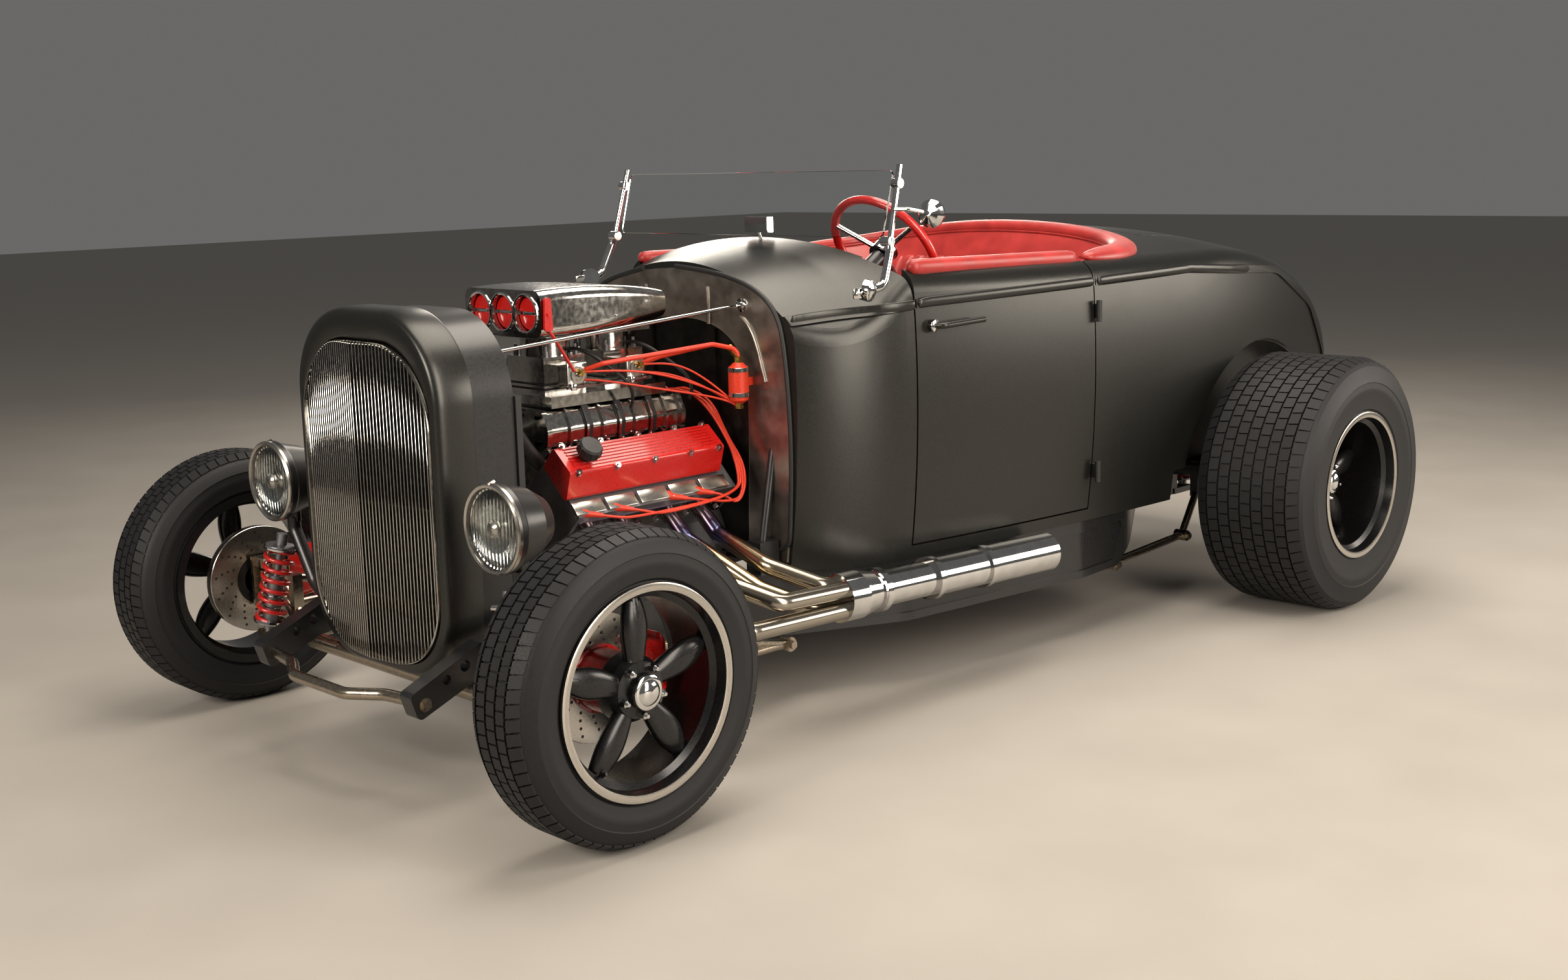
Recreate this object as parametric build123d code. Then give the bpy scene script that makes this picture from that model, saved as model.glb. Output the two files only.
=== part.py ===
from build123d import *
import math
import os

os.makedirs("parts", exist_ok=True)

# Hot rod roadster, in millimetres: +X is the car's left, the front faces -Y, +Z is up.
# The origin is on the ground, under the middle of the whole car.
wheelbase = 2692
front_tyre_radius = 334
rear_tyre_radius = 385
rear_reach = 3520                      # rear spreader bar's back, behind the front axle
front_axle_y = -(rear_reach - front_tyre_radius) / 2


def aft(distance):
    """y of a place that lies this far behind the front axle."""
    return front_axle_y + distance


rear_axle_y = aft(wheelbase)
rear_reach_y = aft(rear_reach)

# Wheels: middle planes, widths and rims
front_wheel_x = 792
front_tyre_width = 186
rear_wheel_x = 887
rear_tyre_width = 366
front_rim_radius = 227
rear_rim_radius = 221
kingpin_x = 640
kingpin_radius = 11
steer_arm = 176                        # from the kingpin back to the tie rod's end
front_disc_x = 704
rear_disc_x = 742
disc_thickness = 22
steer_limit = 28

# Body shell
body_wall = 34
body_bottom_z = 350
body_widest_z = 780
body_top_z = 1240
side_bulge = 24                        # how far the side curves in 400 mm above or below its widest
firewall_y = aft(900)
firewall_half = 425
door_front_y = aft(1212)
door_rear_y = aft(1890)
door_bottom_z = 388
door_gap = 5
tail_y = aft(3475)
tail_corner_radius = 210
deck_front_y = aft(2330)
crown_axis_z = -1560                   # the deck's crown is part of a circle about this height
deck_top_z = 1160
belt_height = 22
belt_stand = 6
shoulder_roll = 70
lid_half = 400
lid_front_y = aft(2500)
lid_bottom_z = 736
hinge_x = 656
hinge_y = door_rear_y + 3

# Wheel arch opening in the quarter
arch_y = aft(2790)
arch_z = 360
arch_radius = 437

# Frame
rail_width = 44
horn_bolt_y = aft(-185)
horn_bolt_z = 242


def both_sides(*solids):
    return [*solids, *[mirror(solid, about=Plane.YZ) for solid in solids]]


def rod(start, end, radius, bore=0):
    """Round bar or tube between two points."""
    start, end = Vector(*start), Vector(*end)
    plane = Plane(origin=start, z_dir=end - start)
    ring = Circle(radius) - Circle(bore) if bore else Circle(radius)
    return extrude(plane * ring, amount=(end - start).length)


def bent_tube(points, radius, bend):
    """Round bar along straight runs joined by arcs."""
    path = FilletPolyline(*points, radius=bend)
    return sweep(Plane(origin=path @ 0, z_dir=path % 0) * Circle(radius), path=path)


def turned(profile, origin, axis, sweep_angle=360):
    """Solid of revolution; the profile's points are (along the axis, radius)."""
    axis = Vector(*axis)
    side = Vector(0, 0, 1) if abs(axis.Z) < 0.9 else Vector(0, 1, 0)
    plane = Plane(origin=origin, x_dir=axis, z_dir=axis.cross(side))
    face = plane * make_face(Polyline(*profile, close=True))
    return revolve(face, axis=Axis(origin, axis), revolution_arc=sweep_angle)


def side_slab(outline, x_from, x_to, radius=0):
    """Solid of an outline of (y, z) points, from one x to another."""
    path = FilletPolyline(*outline, radius=radius, close=True) if radius else Polyline(*outline, close=True)
    face = Plane(origin=(x_from, 0, 0), x_dir=(0, 1, 0), z_dir=(1, 0, 0)) * make_face(path)
    return extrude(face, amount=x_to - x_from)


def front_slab(outline, y_from, y_to, radius=0):
    """Solid of an outline of (x, z) points, from one y back to another."""
    path = FilletPolyline(*outline, radius=radius, close=True) if radius else Polyline(*outline, close=True)
    face = Plane(origin=(0, y_to, 0), x_dir=(1, 0, 0), z_dir=(0, -1, 0)) * make_face(path)
    return extrude(face, amount=y_to - y_from)


def flat_slab(outline, z_from, z_to, radius=0):
    """Solid of an outline of (x, y) points, from one height to another."""
    path = FilletPolyline(*outline, radius=radius, close=True) if radius else Polyline(*outline, close=True)
    return extrude(Pos(0, 0, z_from) * make_face(path), amount=z_to - z_from)


def block(low, high):
    """Box between two corners."""
    size = [b - a for a, b in zip(low, high)]
    return Pos(*[(a + b) / 2 for a, b in zip(low, high)]) * Box(*size)


# Body shell: an outline seen from above, lofted through three heights, cut by a crowned top

def plan_face(inset):
    """The body's outline from above, drawn in by an inset."""
    door_side = ThreePointArc((564, aft(1180)), (646, door_rear_y), (668, aft(2400)))
    cowl_side = TangentArc(door_side @ 0, (firewall_half - 18, aft(870)), tangent=-(door_side % 0))
    ahead = cowl_side % 1
    nose = Line(cowl_side @ 1, cowl_side @ 1 + ahead * ((aft(830) - (cowl_side @ 1).Y) / ahead.Y))
    quarter = TangentArc(door_side @ 1, (612, aft(3150)), tangent=door_side % 1)
    slope = quarter % 1
    reach = (tail_y - (quarter @ 1).Y) / slope.Y
    corner = quarter @ 1 + slope * reach
    half = [Line((0, aft(830)), nose @ 1), nose, cowl_side, door_side, quarter,
            Line(quarter @ 1, corner), Line(corner, (0, tail_y)), Line((0, tail_y), (0, aft(830)))]
    right = make_face(Wire(half))
    right = fillet(right.vertices().sort_by_distance(Vector(corner.X, corner.Y))[0], tail_corner_radius)
    whole = right + mirror(right, about=Plane.YZ)
    return offset(whole.face(), amount=-inset, kind=Kind.INTERSECTION) if inset else whole.face()


def side_inset(z):
    return side_bulge * ((z - body_widest_z) / 400) ** 2


def plan_solid(grow):
    levels = (body_bottom_z - 60 if grow < 0 else body_bottom_z, body_widest_z, body_top_z)
    return loft([Pos(0, 0, z) * plan_face(side_inset(z) - grow) for z in levels])


def cowl_top(drop):
    """Everything under the cowl's arch, from in front of the firewall to behind the cowl."""
    sections = []
    for y, half, edge_z, crown_z in ((aft(780), 400, 962, 1116), (aft(1230), 545, 1104, 1186)):
        rise = crown_z - edge_z
        arch = (half ** 2 + rise ** 2) / (2 * rise)
        rim_half = 590
        rim_z = crown_z - arch + math.sqrt(arch ** 2 - rim_half ** 2)
        rim = ThreePointArc((rim_half, rim_z), (0, crown_z), (-rim_half, rim_z))
        skirt = Polyline((-rim_half, rim_z), (-700, rim_z - 20), (-700, 100), (700, 100), (700, rim_z - 20),
                         (rim_half, rim_z))
        plane = Plane(origin=(0, y, -drop), x_dir=(1, 0, 0), z_dir=(0, -1, 0))
        sections.append(plane * make_face(Wire([rim, *skirt.edges()])))
    return loft(sections, ruled=True)


def rear_top(drop):
    """Everything under the crowned deck and the tail's falling curve."""
    deck = Line((aft(1100), deck_top_z), (aft(2520), deck_top_z))
    slope = TangentArc(deck @ 1, (aft(3100), 1050), tangent=deck % 1)
    tail = TangentArc(slope @ 1, (aft(3420), 720), tangent=slope % 1)
    drop_off = TangentArc(tail @ 1, (aft(3500), 420), tangent=tail % 1)
    skirt = Polyline(drop_off @ 1, (aft(3500), -300), (aft(1100), -300), (aft(1100), deck_top_z))
    face = Plane.YZ * make_face(Wire([deck, slope, tail, drop_off, *skirt.edges()]))
    crown_axis = Axis((0, 0, crown_axis_z), (0, 1, 0))
    spread = 20
    rear = revolve(face.rotate(crown_axis, -spread), axis=crown_axis, revolution_arc=2 * spread)
    return Pos(0, -drop, -drop) * rear


def slice_y(solid, y_from, y_to):
    return solid & block((-1500, y_from, -500), (1500, y_to, 2500))


def body_form(grow, shoulder=0, spare=0):
    """The cowl's and the rear body's closed forms, grown outwards, with rolled shoulders."""
    plan = plan_solid(grow)
    forms = []
    for top, y_from, y_to in ((cowl_top(-grow), firewall_y, door_front_y), (rear_top(-grow), door_front_y, aft(3600))):
        form = slice_y(plan, y_from - spare, y_to + spare) & top
        if shoulder:
            shoulder_edges = [edge for edge in form.edges()
                              if edge.bounding_box().min.Z > 420 and edge.bounding_box().size.Z < 500
                              and abs(edge.center().X) > 100 and edge.bounding_box().size.Y > 2]
            form = fillet(shoulder_edges, shoulder)
        forms.append(form)
    return forms


def belt_band():
    """The raised moulding's band as seen from the side, right across the car."""
    line = FilletPolyline((aft(880), 992), (aft(1250), 1024), (aft(2350), 1046), (aft(2900), 1010), (aft(3180), 880),
                          (aft(3330), 700), (aft(3390), 500), radius=170)
    stroke = trace(line, line_width=belt_height)
    return extrude(Plane(origin=(-900, 0, 0), x_dir=(0, 1, 0), z_dir=(1, 0, 0)) * stroke, amount=1800)


def lid_cutter(grow):
    """The decklid's outline, rounded from above at its front and from behind at its foot."""
    half, front, foot = lid_half + grow, lid_front_y - grow, lid_bottom_z - grow
    from_above = flat_slab([(-half, front), (half, front), (half, aft(3700)), (-half, aft(3700))], 600, 1400, 60)
    from_behind = front_slab([(-half, foot), (half, foot), (half, 1500), (-half, 1500)], aft(2300), aft(3600), 60)
    return from_above & from_behind


def door_cutter(side, grow):
    low_x, high_x = (380, 900) if side > 0 else (-900, -380)
    return block((low_x, door_front_y - grow, door_bottom_z - grow), (high_x, door_rear_y + grow, 1300))


def arch_disc(radius, x_from, x_to):
    return Plane(origin=(x_from, arch_y, arch_z), x_dir=(0, 1, 0), z_dir=(1, 0, 0)) * Pos(0, 0, (x_to - x_from) / 2) \
        * Cylinder(radius, x_to - x_from)


def body_shells():
    """Cowl, rear body, two doors and the decklid, cut from one shell along the real seams."""
    outer_cowl, outer_rear = body_form(0, shoulder_roll)
    inner_cowl, inner_rear = body_form(-body_wall, spare=12)
    grown_cowl, grown_rear = body_form(belt_stand, shoulder_roll)
    band = belt_band()
    cowl = (outer_cowl + (grown_cowl & band)) - inner_cowl
    rear = (outer_rear + (grown_rear & band)) - inner_rear
    rim = [(-540, aft(1190)), (540, aft(1190)), (606, aft(2040)), (440, deck_front_y), (-440, deck_front_y),
           (-606, aft(2040))]
    rear -= flat_slab(rim, 1000, 1400, 90)
    rear -= arch_disc(arch_radius, 470, 900) + arch_disc(arch_radius, -900, -470)
    rear -= block((-900, aft(2300), 200), (900, aft(3600), 440))
    decklid = rear & lid_cutter(-1)
    rear -= lid_cutter(door_gap - 1)
    doors = []
    for side in (1, -1):
        doors.append(rear & door_cutter(side, 0))
        rear -= door_cutter(side, door_gap)
        cowl -= door_cutter(side, door_gap)
    lips = []
    for side in (1, -1):
        x_from, x_to = (560, 634) if side > 0 else (-634, -560)
        house = arch_disc(arch_radius, x_from, x_to) - arch_disc(arch_radius - 7, x_from - 1, x_to + 1)
        wall_from, wall_to = (553, 560) if side > 0 else (-560, -553)
        house += arch_disc(arch_radius, wall_from, wall_to)
        lips.append(house & block((-900, aft(2200), 440), (900, aft(3400), 1200)))
    hinges = []
    for z in (497, 954):
        for side in (1, -1):
            hinges.append(rod((side * hinge_x, hinge_y, z - 26), (side * hinge_x, hinge_y, z + 26), 7))
            hinges.append(block((min(side * 620, side * hinge_x), hinge_y + 2, z - 20),
                                (max(side * 620, side * hinge_x), hinge_y + 9, z + 20)))
    rear = rear + lips + hinges
    return cowl, rear, doors, decklid


def inside_form(gap, y_from, y_to, z_from, z_to):
    """Part of the space inside the body, clear of the walls by a gap."""
    room = slice_y(plan_solid(-body_wall - gap), y_from, y_to)
    room &= block((-900, y_from, z_from), (900, y_to, z_to))
    return room


def firewall():
    plate = slice_y(plan_solid(-body_wall - 1), aft(912), aft(920)) & cowl_top(body_wall + 1)
    plate &= block((-900, aft(900), 352), (900, aft(930), 1300))
    ribs = [block((x - 9, aft(904), 640), (x + 9, aft(912), 960)) for x in (-250, -125, 125, 250)]
    return [plate + ribs]


tunnel_wide = 165
tunnel_slim = 84
sheet = 6
floor_back = aft(2150)
boot_floor_z = 612


def floor_pan():
    """Cabin floor with its tunnel, the riser behind the seat and the boot floor over the frame's kick-up."""
    front = inside_form(1, aft(922), floor_back, 352, 358)
    for half, y_from, y_to in ((tunnel_wide, aft(900), aft(1620)), (tunnel_slim, aft(1600), aft(2340))):
        front -= block((-half + sheet, y_from, 300), (half - sheet, y_to, 400))
    tunnels = []
    for half, y_from, y_to in ((tunnel_wide, aft(922), aft(1620)), (tunnel_slim, aft(1620), floor_back)):
        ridge = rod((0, y_from, 352), (0, y_to, 352), half) - rod((0, y_from - 1, 352), (0, y_to + 1, 352), half - sheet)
        tunnels.append(ridge & block((-200, y_from, 352), (200, y_to, 600)))
    cap = rod((0, aft(1614), 352), (0, aft(1620), 352), tunnel_wide) & block((-200, aft(1600), 352), (200, aft(1630), 600))
    cap -= rod((0, aft(1600), 352), (0, aft(1640), 352), tunnel_slim - sheet)
    riser = inside_form(1, floor_back, floor_back + sheet, 352, boot_floor_z)
    riser -= rod((0, floor_back - 9, 352), (0, floor_back + 9, 352), tunnel_slim - sheet)
    boot = inside_form(1, floor_back, aft(3370), boot_floor_z - sheet, boot_floor_z)
    boot &= block((-470, aft(2100), 500), (470, aft(3500), 700))
    return [front + tunnels + cap + riser + boot]


def dashboard():
    board = slice_y(plan_solid(-body_wall - 1), aft(1172), aft(1204)) & cowl_top(body_wall + 1)
    return [board & block((-900, aft(1100), 900), (900, aft(1300), 1300))]


def seat_cushion():
    pad = fillet(block((-500, aft(1626), 359), (500, aft(2060), 590)).edges(), 40)
    return [pad - rod((0, aft(1600), 352), (0, aft(2100), 352), tunnel_slim + 2)]


def seat_back():
    outline = [(aft(2000), 592), (aft(2140), 592), (aft(2302), 1060), (aft(2190), 1078)]
    return [side_slab(outline, -510, 510, 30)]


def cockpit_trim():
    path = [(577, aft(1900), 1100), (583, aft(2070), 1100), (432, aft(2336), 1130), (0, aft(2342), 1162),
            (-432, aft(2336), 1130), (-583, aft(2070), 1100), (-577, aft(1900), 1100)]
    return [bent_tube(path, 24, [110, 110, 1000, 110, 110])]


def door_trims():
    trims = []
    for side in (1, -1):
        panel = inside_form(1, door_front_y + 22, door_rear_y - 22, 430, 1040)
        panel -= inside_form(24, door_front_y, door_rear_y, 300, 1200)
        low_x, high_x = (400, 700) if side > 0 else (-700, -400)
        panel &= block((low_x, door_front_y, 300), (high_x, door_rear_y, 1200))
        roll = rod((side * 527, door_front_y + 6, 1112), (side * 578, door_rear_y - 6, 1102), 22)
        trims.append([panel, roll])
    return trims


def door_handle(side):
    grip = bent_tube([(side * 578, aft(1262), 962), (side * 606, aft(1276), 962), (side * 622, aft(1420), 968)], 8, 14)
    root = rod((side * 560, aft(1262), 962), (side * 584, aft(1262), 962), 15)
    return [root + grip]


# Frame

def frame_rails():
    """Channel rails with drilled, drooping horns in front and a kick-up over the rear axle."""
    centre = FilletPolyline((318, aft(-240)), (322, aft(480)), (364, aft(900)), (510, aft(1212)), (586, aft(1890)),
                            (568, aft(2150)), (430, aft(2420)), (430, aft(3450)), radius=120)
    band = extrude(Pos(0, 0, 100) * trace(centre, line_width=rail_width), amount=700)
    outline = [(aft(-222), 268), (aft(-202), 206), (aft(-60), 262), (aft(160), 290), (aft(420), 240), (aft(900), 178),
               (aft(2080), 178), (aft(2330), 330), (aft(2470), 520), (aft(2900), 520), (aft(3440), 340),
               (aft(3440), 420), (aft(3000), 600), (aft(2440), 600), (aft(2290), 480), (aft(2164), 350),
               (aft(-30), 350)]
    side = side_slab(outline, 200, 700, 14)
    rail = band & side
    reveal = [(aft(980), 200), (aft(2060), 200), (aft(2120), 312), (aft(980), 312)]
    rail -= side_slab(reveal, 200, 700, 16) - Pos(-6, 0, 0) * band
    rail -= rod((200, horn_bolt_y, horn_bolt_z), (400, horn_bolt_y, horn_bolt_z), 8)
    for y, z, radius in ((aft(-125), 285, 11), (aft(-75), 306, 13), (aft(-20), 316, 15)):
        rail -= rod((200, y, z), (400, y, z), radius)
    return both_sides(rail)


def crossmembers():
    front = front_slab([(-296, 300), (296, 300), (296, 346), (200, 346), (150, 322), (-150, 322), (-200, 346),
                        (-296, 346)], aft(142), aft(240))
    middle = bent_tube([(-480, aft(1480), 240), (-170, aft(1480), 240), (-120, aft(1480), 212), (120, aft(1480), 212),
                        (170, aft(1480), 240), (480, aft(1480), 240)], 25, 30)
    rear = rod((-420, aft(2776), 566), (420, aft(2776), 566), 24)
    return [front, middle, rear]


def spreader_bars():
    front = bent_tube([(-296, aft(-185), horn_bolt_z), (-200, aft(-196), 240), (-110, aft(-244), 236),
                       (110, aft(-244), 236), (200, aft(-196), 240), (296, aft(-185), horn_bolt_z)], 14, 60)
    rear = rod((-408, aft(3424), 372), (408, aft(3424), 372), 12)
    return [front, rear]


# Grille, lamps and windscreen

def shell_outline(half, bottom, top, crown):
    """Front view of the shell: tapering sides under a half-round top, with a shallow foot."""
    shoulder = top - crown
    side = Line((half - 16, bottom + 60), (half, shoulder))
    arch = ThreePointArc((half, shoulder), (0, top), (-half, shoulder))
    foot = ThreePointArc((-half + 60, bottom + 8), (0, bottom), (half - 60, bottom + 8))
    lower_left = ThreePointArc((-half + 16, bottom + 60), (-half + 30, bottom + 22), (-half + 60, bottom + 8))
    lower_right = ThreePointArc((half - 60, bottom + 8), (half - 30, bottom + 22), (half - 16, bottom + 60))
    return make_face(Wire([side, arch, Line((-half, shoulder), (-half + 16, bottom + 60)), lower_left, foot,
                           lower_right]))


def stand_up(face, y_from, y_to):
    """Extrude a front-view face between two y places."""
    return extrude(Plane(origin=(0, y_to, 0), x_dir=(1, 0, 0), z_dir=(0, -1, 0)) * face, amount=y_to - y_from)


shell_back_y = aft(140)
bars_per_side = 22
bar_pitch = 11.5
grille_peak = 34
lamp_x = 467
lamp_y = aft(-62)
lamp_z = 631


def grille_shell():
    outer = stand_up(shell_outline(292, 238, 1084, 264), aft(-78), shell_back_y)
    front_edges = outer.edges().filter_by_position(Axis.Y, aft(-79), aft(-77))
    outer = fillet(front_edges, 34)
    opening = stand_up(shell_outline(266, 272, 1016, 236), aft(-100), aft(-30))
    hollow = stand_up(shell_outline(280, 250, 1072, 252), aft(-46), aft(150))
    return [outer - opening - hollow]


def grille_insert():
    """Silver surround and upright bars that meet at a peaked centre seam."""
    surround = stand_up(shell_outline(265, 273, 1015, 235), aft(-90), aft(-50)) \
        - stand_up(shell_outline(255, 283, 1004, 225), aft(-120), aft(-20))
    inside = stand_up(shell_outline(257, 281, 1006, 227), aft(-140), aft(-20))
    bars = []
    for index in range(-bars_per_side, bars_per_side + 1):
        x = index * bar_pitch
        peak = grille_peak * (1 - abs(x) / 260)
        bars.append(block((x - 2, aft(-80) - peak, 260), (x + 2, aft(-66) - peak, 1030)))
    rails = []
    for z in (420, 640, 860):
        for side in (1, -1):
            rails.append(rod((0, aft(-68) - grille_peak, z), (side * 262, aft(-66), z), 3))
    return [(Compound(children=bars + rails) & inside) + surround]


def radiator():
    core = block((-240, aft(2), 300), (240, aft(62), 900))
    top_tank = fillet(block((-190, aft(-8), 890), (190, aft(72), 990)).edges(), 18)
    side_rails = [block((x, shell_back_y, 360), (x + 22, shell_back_y + 16, 880)) for x in (-286, 264)]
    straps = [block((x, aft(50), 600), (x + 22, shell_back_y + 10, 640)) for x in (-262, 240)]
    return [core + top_tank + side_rails + straps]


def support_rods():
    return both_sides(rod((150, aft(73), 960), (248, aft(910), 1030), 4.5))


def headlamps():
    """Round shells on a bar bracket that also holds the dampers' upper ends."""
    shell = turned([(0, 0), (0, 97), (-8, 97), (-12, 99), (-12, 101), (10, 101), (16, 96), (30, 92), (75, 80), (115, 55),
                    (134, 22), (138, 0)], (lamp_x, lamp_y, lamp_z), (0, 1, 0))
    shell -= rod((lamp_x, lamp_y - 20, lamp_z), (lamp_x, lamp_y + 6, lamp_z), 90)
    stem = rod((lamp_x, aft(-6), 520), (lamp_x, aft(-6), 560), 11)
    arm = bent_tube([(332, aft(-6), 330), (400, aft(-6), 372), (lamp_x + 8, aft(-10), 500), (lamp_x + 8, aft(-10), 530)],
                    17, 40)
    return both_sides(shell + stem + arm)


def headlamp_lenses():
    lens = turned([(-16, 0), (-13, 40), (-4, 84), (4, 88), (4, 0)], (lamp_x, lamp_y, lamp_z), (0, 1, 0))
    return both_sides(lens)


def windscreen_posts():
    """Swept stanchions on the cowl's sides, with the swing arms' clamps."""
    foot = rod((536, aft(1040), 1068), (556, aft(1052), 1062), 26)
    post = bent_tube([(548, aft(1046), 1066), (556, aft(1096), 1074), (546, aft(1134), 1160), (540, aft(1140), 1190)],
                     11, 30)
    arm = rod((540, aft(1140), 1176), (531, aft(1192), 1373), 8)
    clamps = [rod((550, aft(1136), 1183), (520, aft(1136), 1183), 13),
              rod((546, aft(1178), 1327), (522, aft(1178), 1327), 12)]
    right = foot + post + arm + clamps
    inner_mirror, side_mirror = mirrors()
    left = mirror(right, about=Plane.YZ)
    return [left, right + side_mirror, inner_mirror]


def windscreen_glass():
    low, high = Vector(0, aft(1146), 1192), Vector(0, aft(1190), 1359)
    along = (high - low).normalized()
    plane = Plane(origin=low, x_dir=(1, 0, 0), z_dir=along.cross(Vector(1, 0, 0)))
    height = (high - low).length
    pane = extrude(plane * Pos(0, -height / 2) * Rectangle(1024, height), amount=3, both=True)
    if pane.center().Z < low.Z:
        pane = extrude(plane * Pos(0, height / 2) * Rectangle(1024, height), amount=3, both=True)
    return [fillet(pane.edges().filter_by(lambda edge: edge.length < 7), 14)]


def mirrors():
    inside = block((-44, aft(1198), 1196), (44, aft(1222), 1238))
    stalk = rod((0, aft(1214), 1172), (0, aft(1210), 1200), 5)
    disc = turned([(-8, 0), (-8, 34), (6, 36), (20, 26), (26, 0)], (606, aft(1228), 1249), (0.25, -1, 0))
    arm = bent_tube([(541, aft(1160), 1262), (575, aft(1172), 1262), (602, aft(1214), 1252)], 5, 12)
    return [inside + stalk, disc + arm]


# Running gear

axle_drop_z = 212


def front_axle():
    """Dropped tube axle with a kingpin boss at each end and a spring perch beside it."""
    half = [(622, aft(0), 332), (572, aft(0), 328), (452, aft(0), axle_drop_z), (-452, aft(0), axle_drop_z),
            (-572, aft(0), 328), (-622, aft(0), 332)]
    beam = bent_tube(half, 22, 50)
    bosses = both_sides(rod((kingpin_x, aft(0), 300), (kingpin_x, aft(0), 368), 26))
    perches = both_sides(block((490, aft(-104), 228), (530, aft(0), 246)),
                         block((498, aft(-14), 200), (522, aft(14), 372)))
    axle = beam + bosses + perches
    for side in (1, -1):
        axle -= rod((side * kingpin_x, aft(0), 200), (side * kingpin_x, aft(0), 450), kingpin_radius + 0.5)
    return [axle]


def spring_rings(foot, top, radius, wire, turns):
    """A coil spring as close rings round the line from its foot to its top."""
    foot, top = Vector(*foot), Vector(*top)
    length = (top - foot).length
    step = length / turns
    profile = [(0, radius - wire)]
    for turn in range(turns):
        profile += [(step * (turn + 0.25), radius + wire), (step * (turn + 0.6), radius + wire),
                    (step * (turn + 0.85), radius - wire)]
    profile += [(length, radius - wire), (length, radius - 2 * wire), (0, radius - 2 * wire)]
    return turned(profile, foot, (top - foot).normalized())


front_damper_foot = (510, aft(-84), 246)
front_damper_top = (478, aft(-46), 478)
rear_damper_foot = (384, aft(2776), 300)
rear_damper_top = (360, aft(2776), 526)


def coil_springs():
    springs = []
    for foot, top in ((front_damper_foot, front_damper_top), (rear_damper_foot, rear_damper_top)):
        foot, top = Vector(*foot), Vector(*top)
        line = (top - foot).normalized()
        springs.append(spring_rings(foot + line * 24, top - line * 24, 34, 6, 7))
    return both_sides(*springs)


def dampers():
    bodies = []
    for foot, top in ((front_damper_foot, front_damper_top), (rear_damper_foot, rear_damper_top)):
        foot, top = Vector(*foot), Vector(*top)
        line = (top - foot).normalized()
        length = (top - foot).length
        bodies.append(turned([(0, 0), (0, 14), (14, 14), (16, 40), (23, 40), (23, 20), (length * 0.6, 20),
                              (length * 0.6, 10), (length - 23, 10), (length - 23, 38), (length - 16, 38),
                              (length - 14, 14), (length + 14, 14), (length + 14, 0)], foot, line))
    return both_sides(*bodies)


def radius_rods():
    """Hairpins from the front axle to the rails, and the rear axle's links."""
    rods = []
    eye = Vector(402, aft(876), 163)
    for z in (362, 212):
        rods.append(rod((510, aft(14), z), eye, 11))
    eye_joint = rod((eye.X - 16, eye.Y, eye.Z), (eye.X + 16, eye.Y, eye.Z), 19)
    front = rods[0] + rods[1] + eye_joint
    rear_eye = Vector(556, aft(2500), 196)
    rail_eye = Vector(560, aft(2104), 176)
    link = rod((500, aft(2672), 300), rear_eye, 12) + rod(rear_eye, rail_eye, 12)
    for joint, half, radius in ((rear_eye, 20, 17), (rail_eye, 22, 19)):
        link += rod(joint - Vector(half, 0, 0), joint + Vector(half, 0, 0), radius)
    return both_sides(front, link)


def rear_axle():
    """Solid axle: a round centre casing with tapering tubes, hub stubs and calipers."""
    z = rear_tyre_radius
    tubes = rod((-700, rear_axle_y, z), (700, rear_axle_y, z), 38)
    casing = turned([(-96, 0), (-96, 70), (-50, 118), (0, 136), (60, 118), (100, 60), (100, 0)],
                    (0, rear_axle_y + 10, z), (0, 1, 0))
    nose = rod((0, rear_axle_y - 60, z), (0, rear_axle_y - 170, z), 52)
    brackets = both_sides(block((360, rear_axle_y, 280), (408, rear_axle_y + 106, 298)),
                          block((364, rear_axle_y - 20, 280), (404, rear_axle_y + 20, z)),
                          block((486, rear_axle_y - 34, z - 96), (514, rear_axle_y + 30, z + 20)))
    axle = tubes + casing + nose + brackets
    stubs = both_sides(rod((700, rear_axle_y, z), (rear_wheel_x + 40, rear_axle_y, z), 18))
    calipers = [caliper(side, rear_disc_x, rear_axle_y, z, 152) for side in (1, -1)]
    return [axle + stubs + calipers]


def caliper(side, disc_x, y, z, radius):
    """Brake caliper straddling a disc behind the hub, on its bracket."""
    inner, outer = disc_x - 38, disc_x + 38
    outline = [(y + radius * 0.50, z - 74), (y + radius + 26, z - 52), (y + radius + 26, z + 52),
               (y + radius * 0.50, z + 74)]
    low, high = (inner, outer) if side > 0 else (-outer, -inner)
    body = side_slab(outline, low, high, 16)
    gap_low, gap_high = disc_x - disc_thickness / 2 - 6, disc_x + disc_thickness / 2 + 6
    gap_low, gap_high = (gap_low, gap_high) if side > 0 else (-gap_high, -gap_low)
    body -= block((gap_low, y - 400, z - 300), (gap_high, y + radius + 8, z + 300))
    bracket_x = (inner + 5, inner + 19) if side > 0 else (-inner - 19, -inner - 5)
    bracket = side_slab([(y - 30, z - 34), (y + radius * 0.7, z - 40), (y + radius * 0.7, z + 40), (y - 30, z + 34)],
                        *bracket_x, 12)
    return body + bracket


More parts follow.
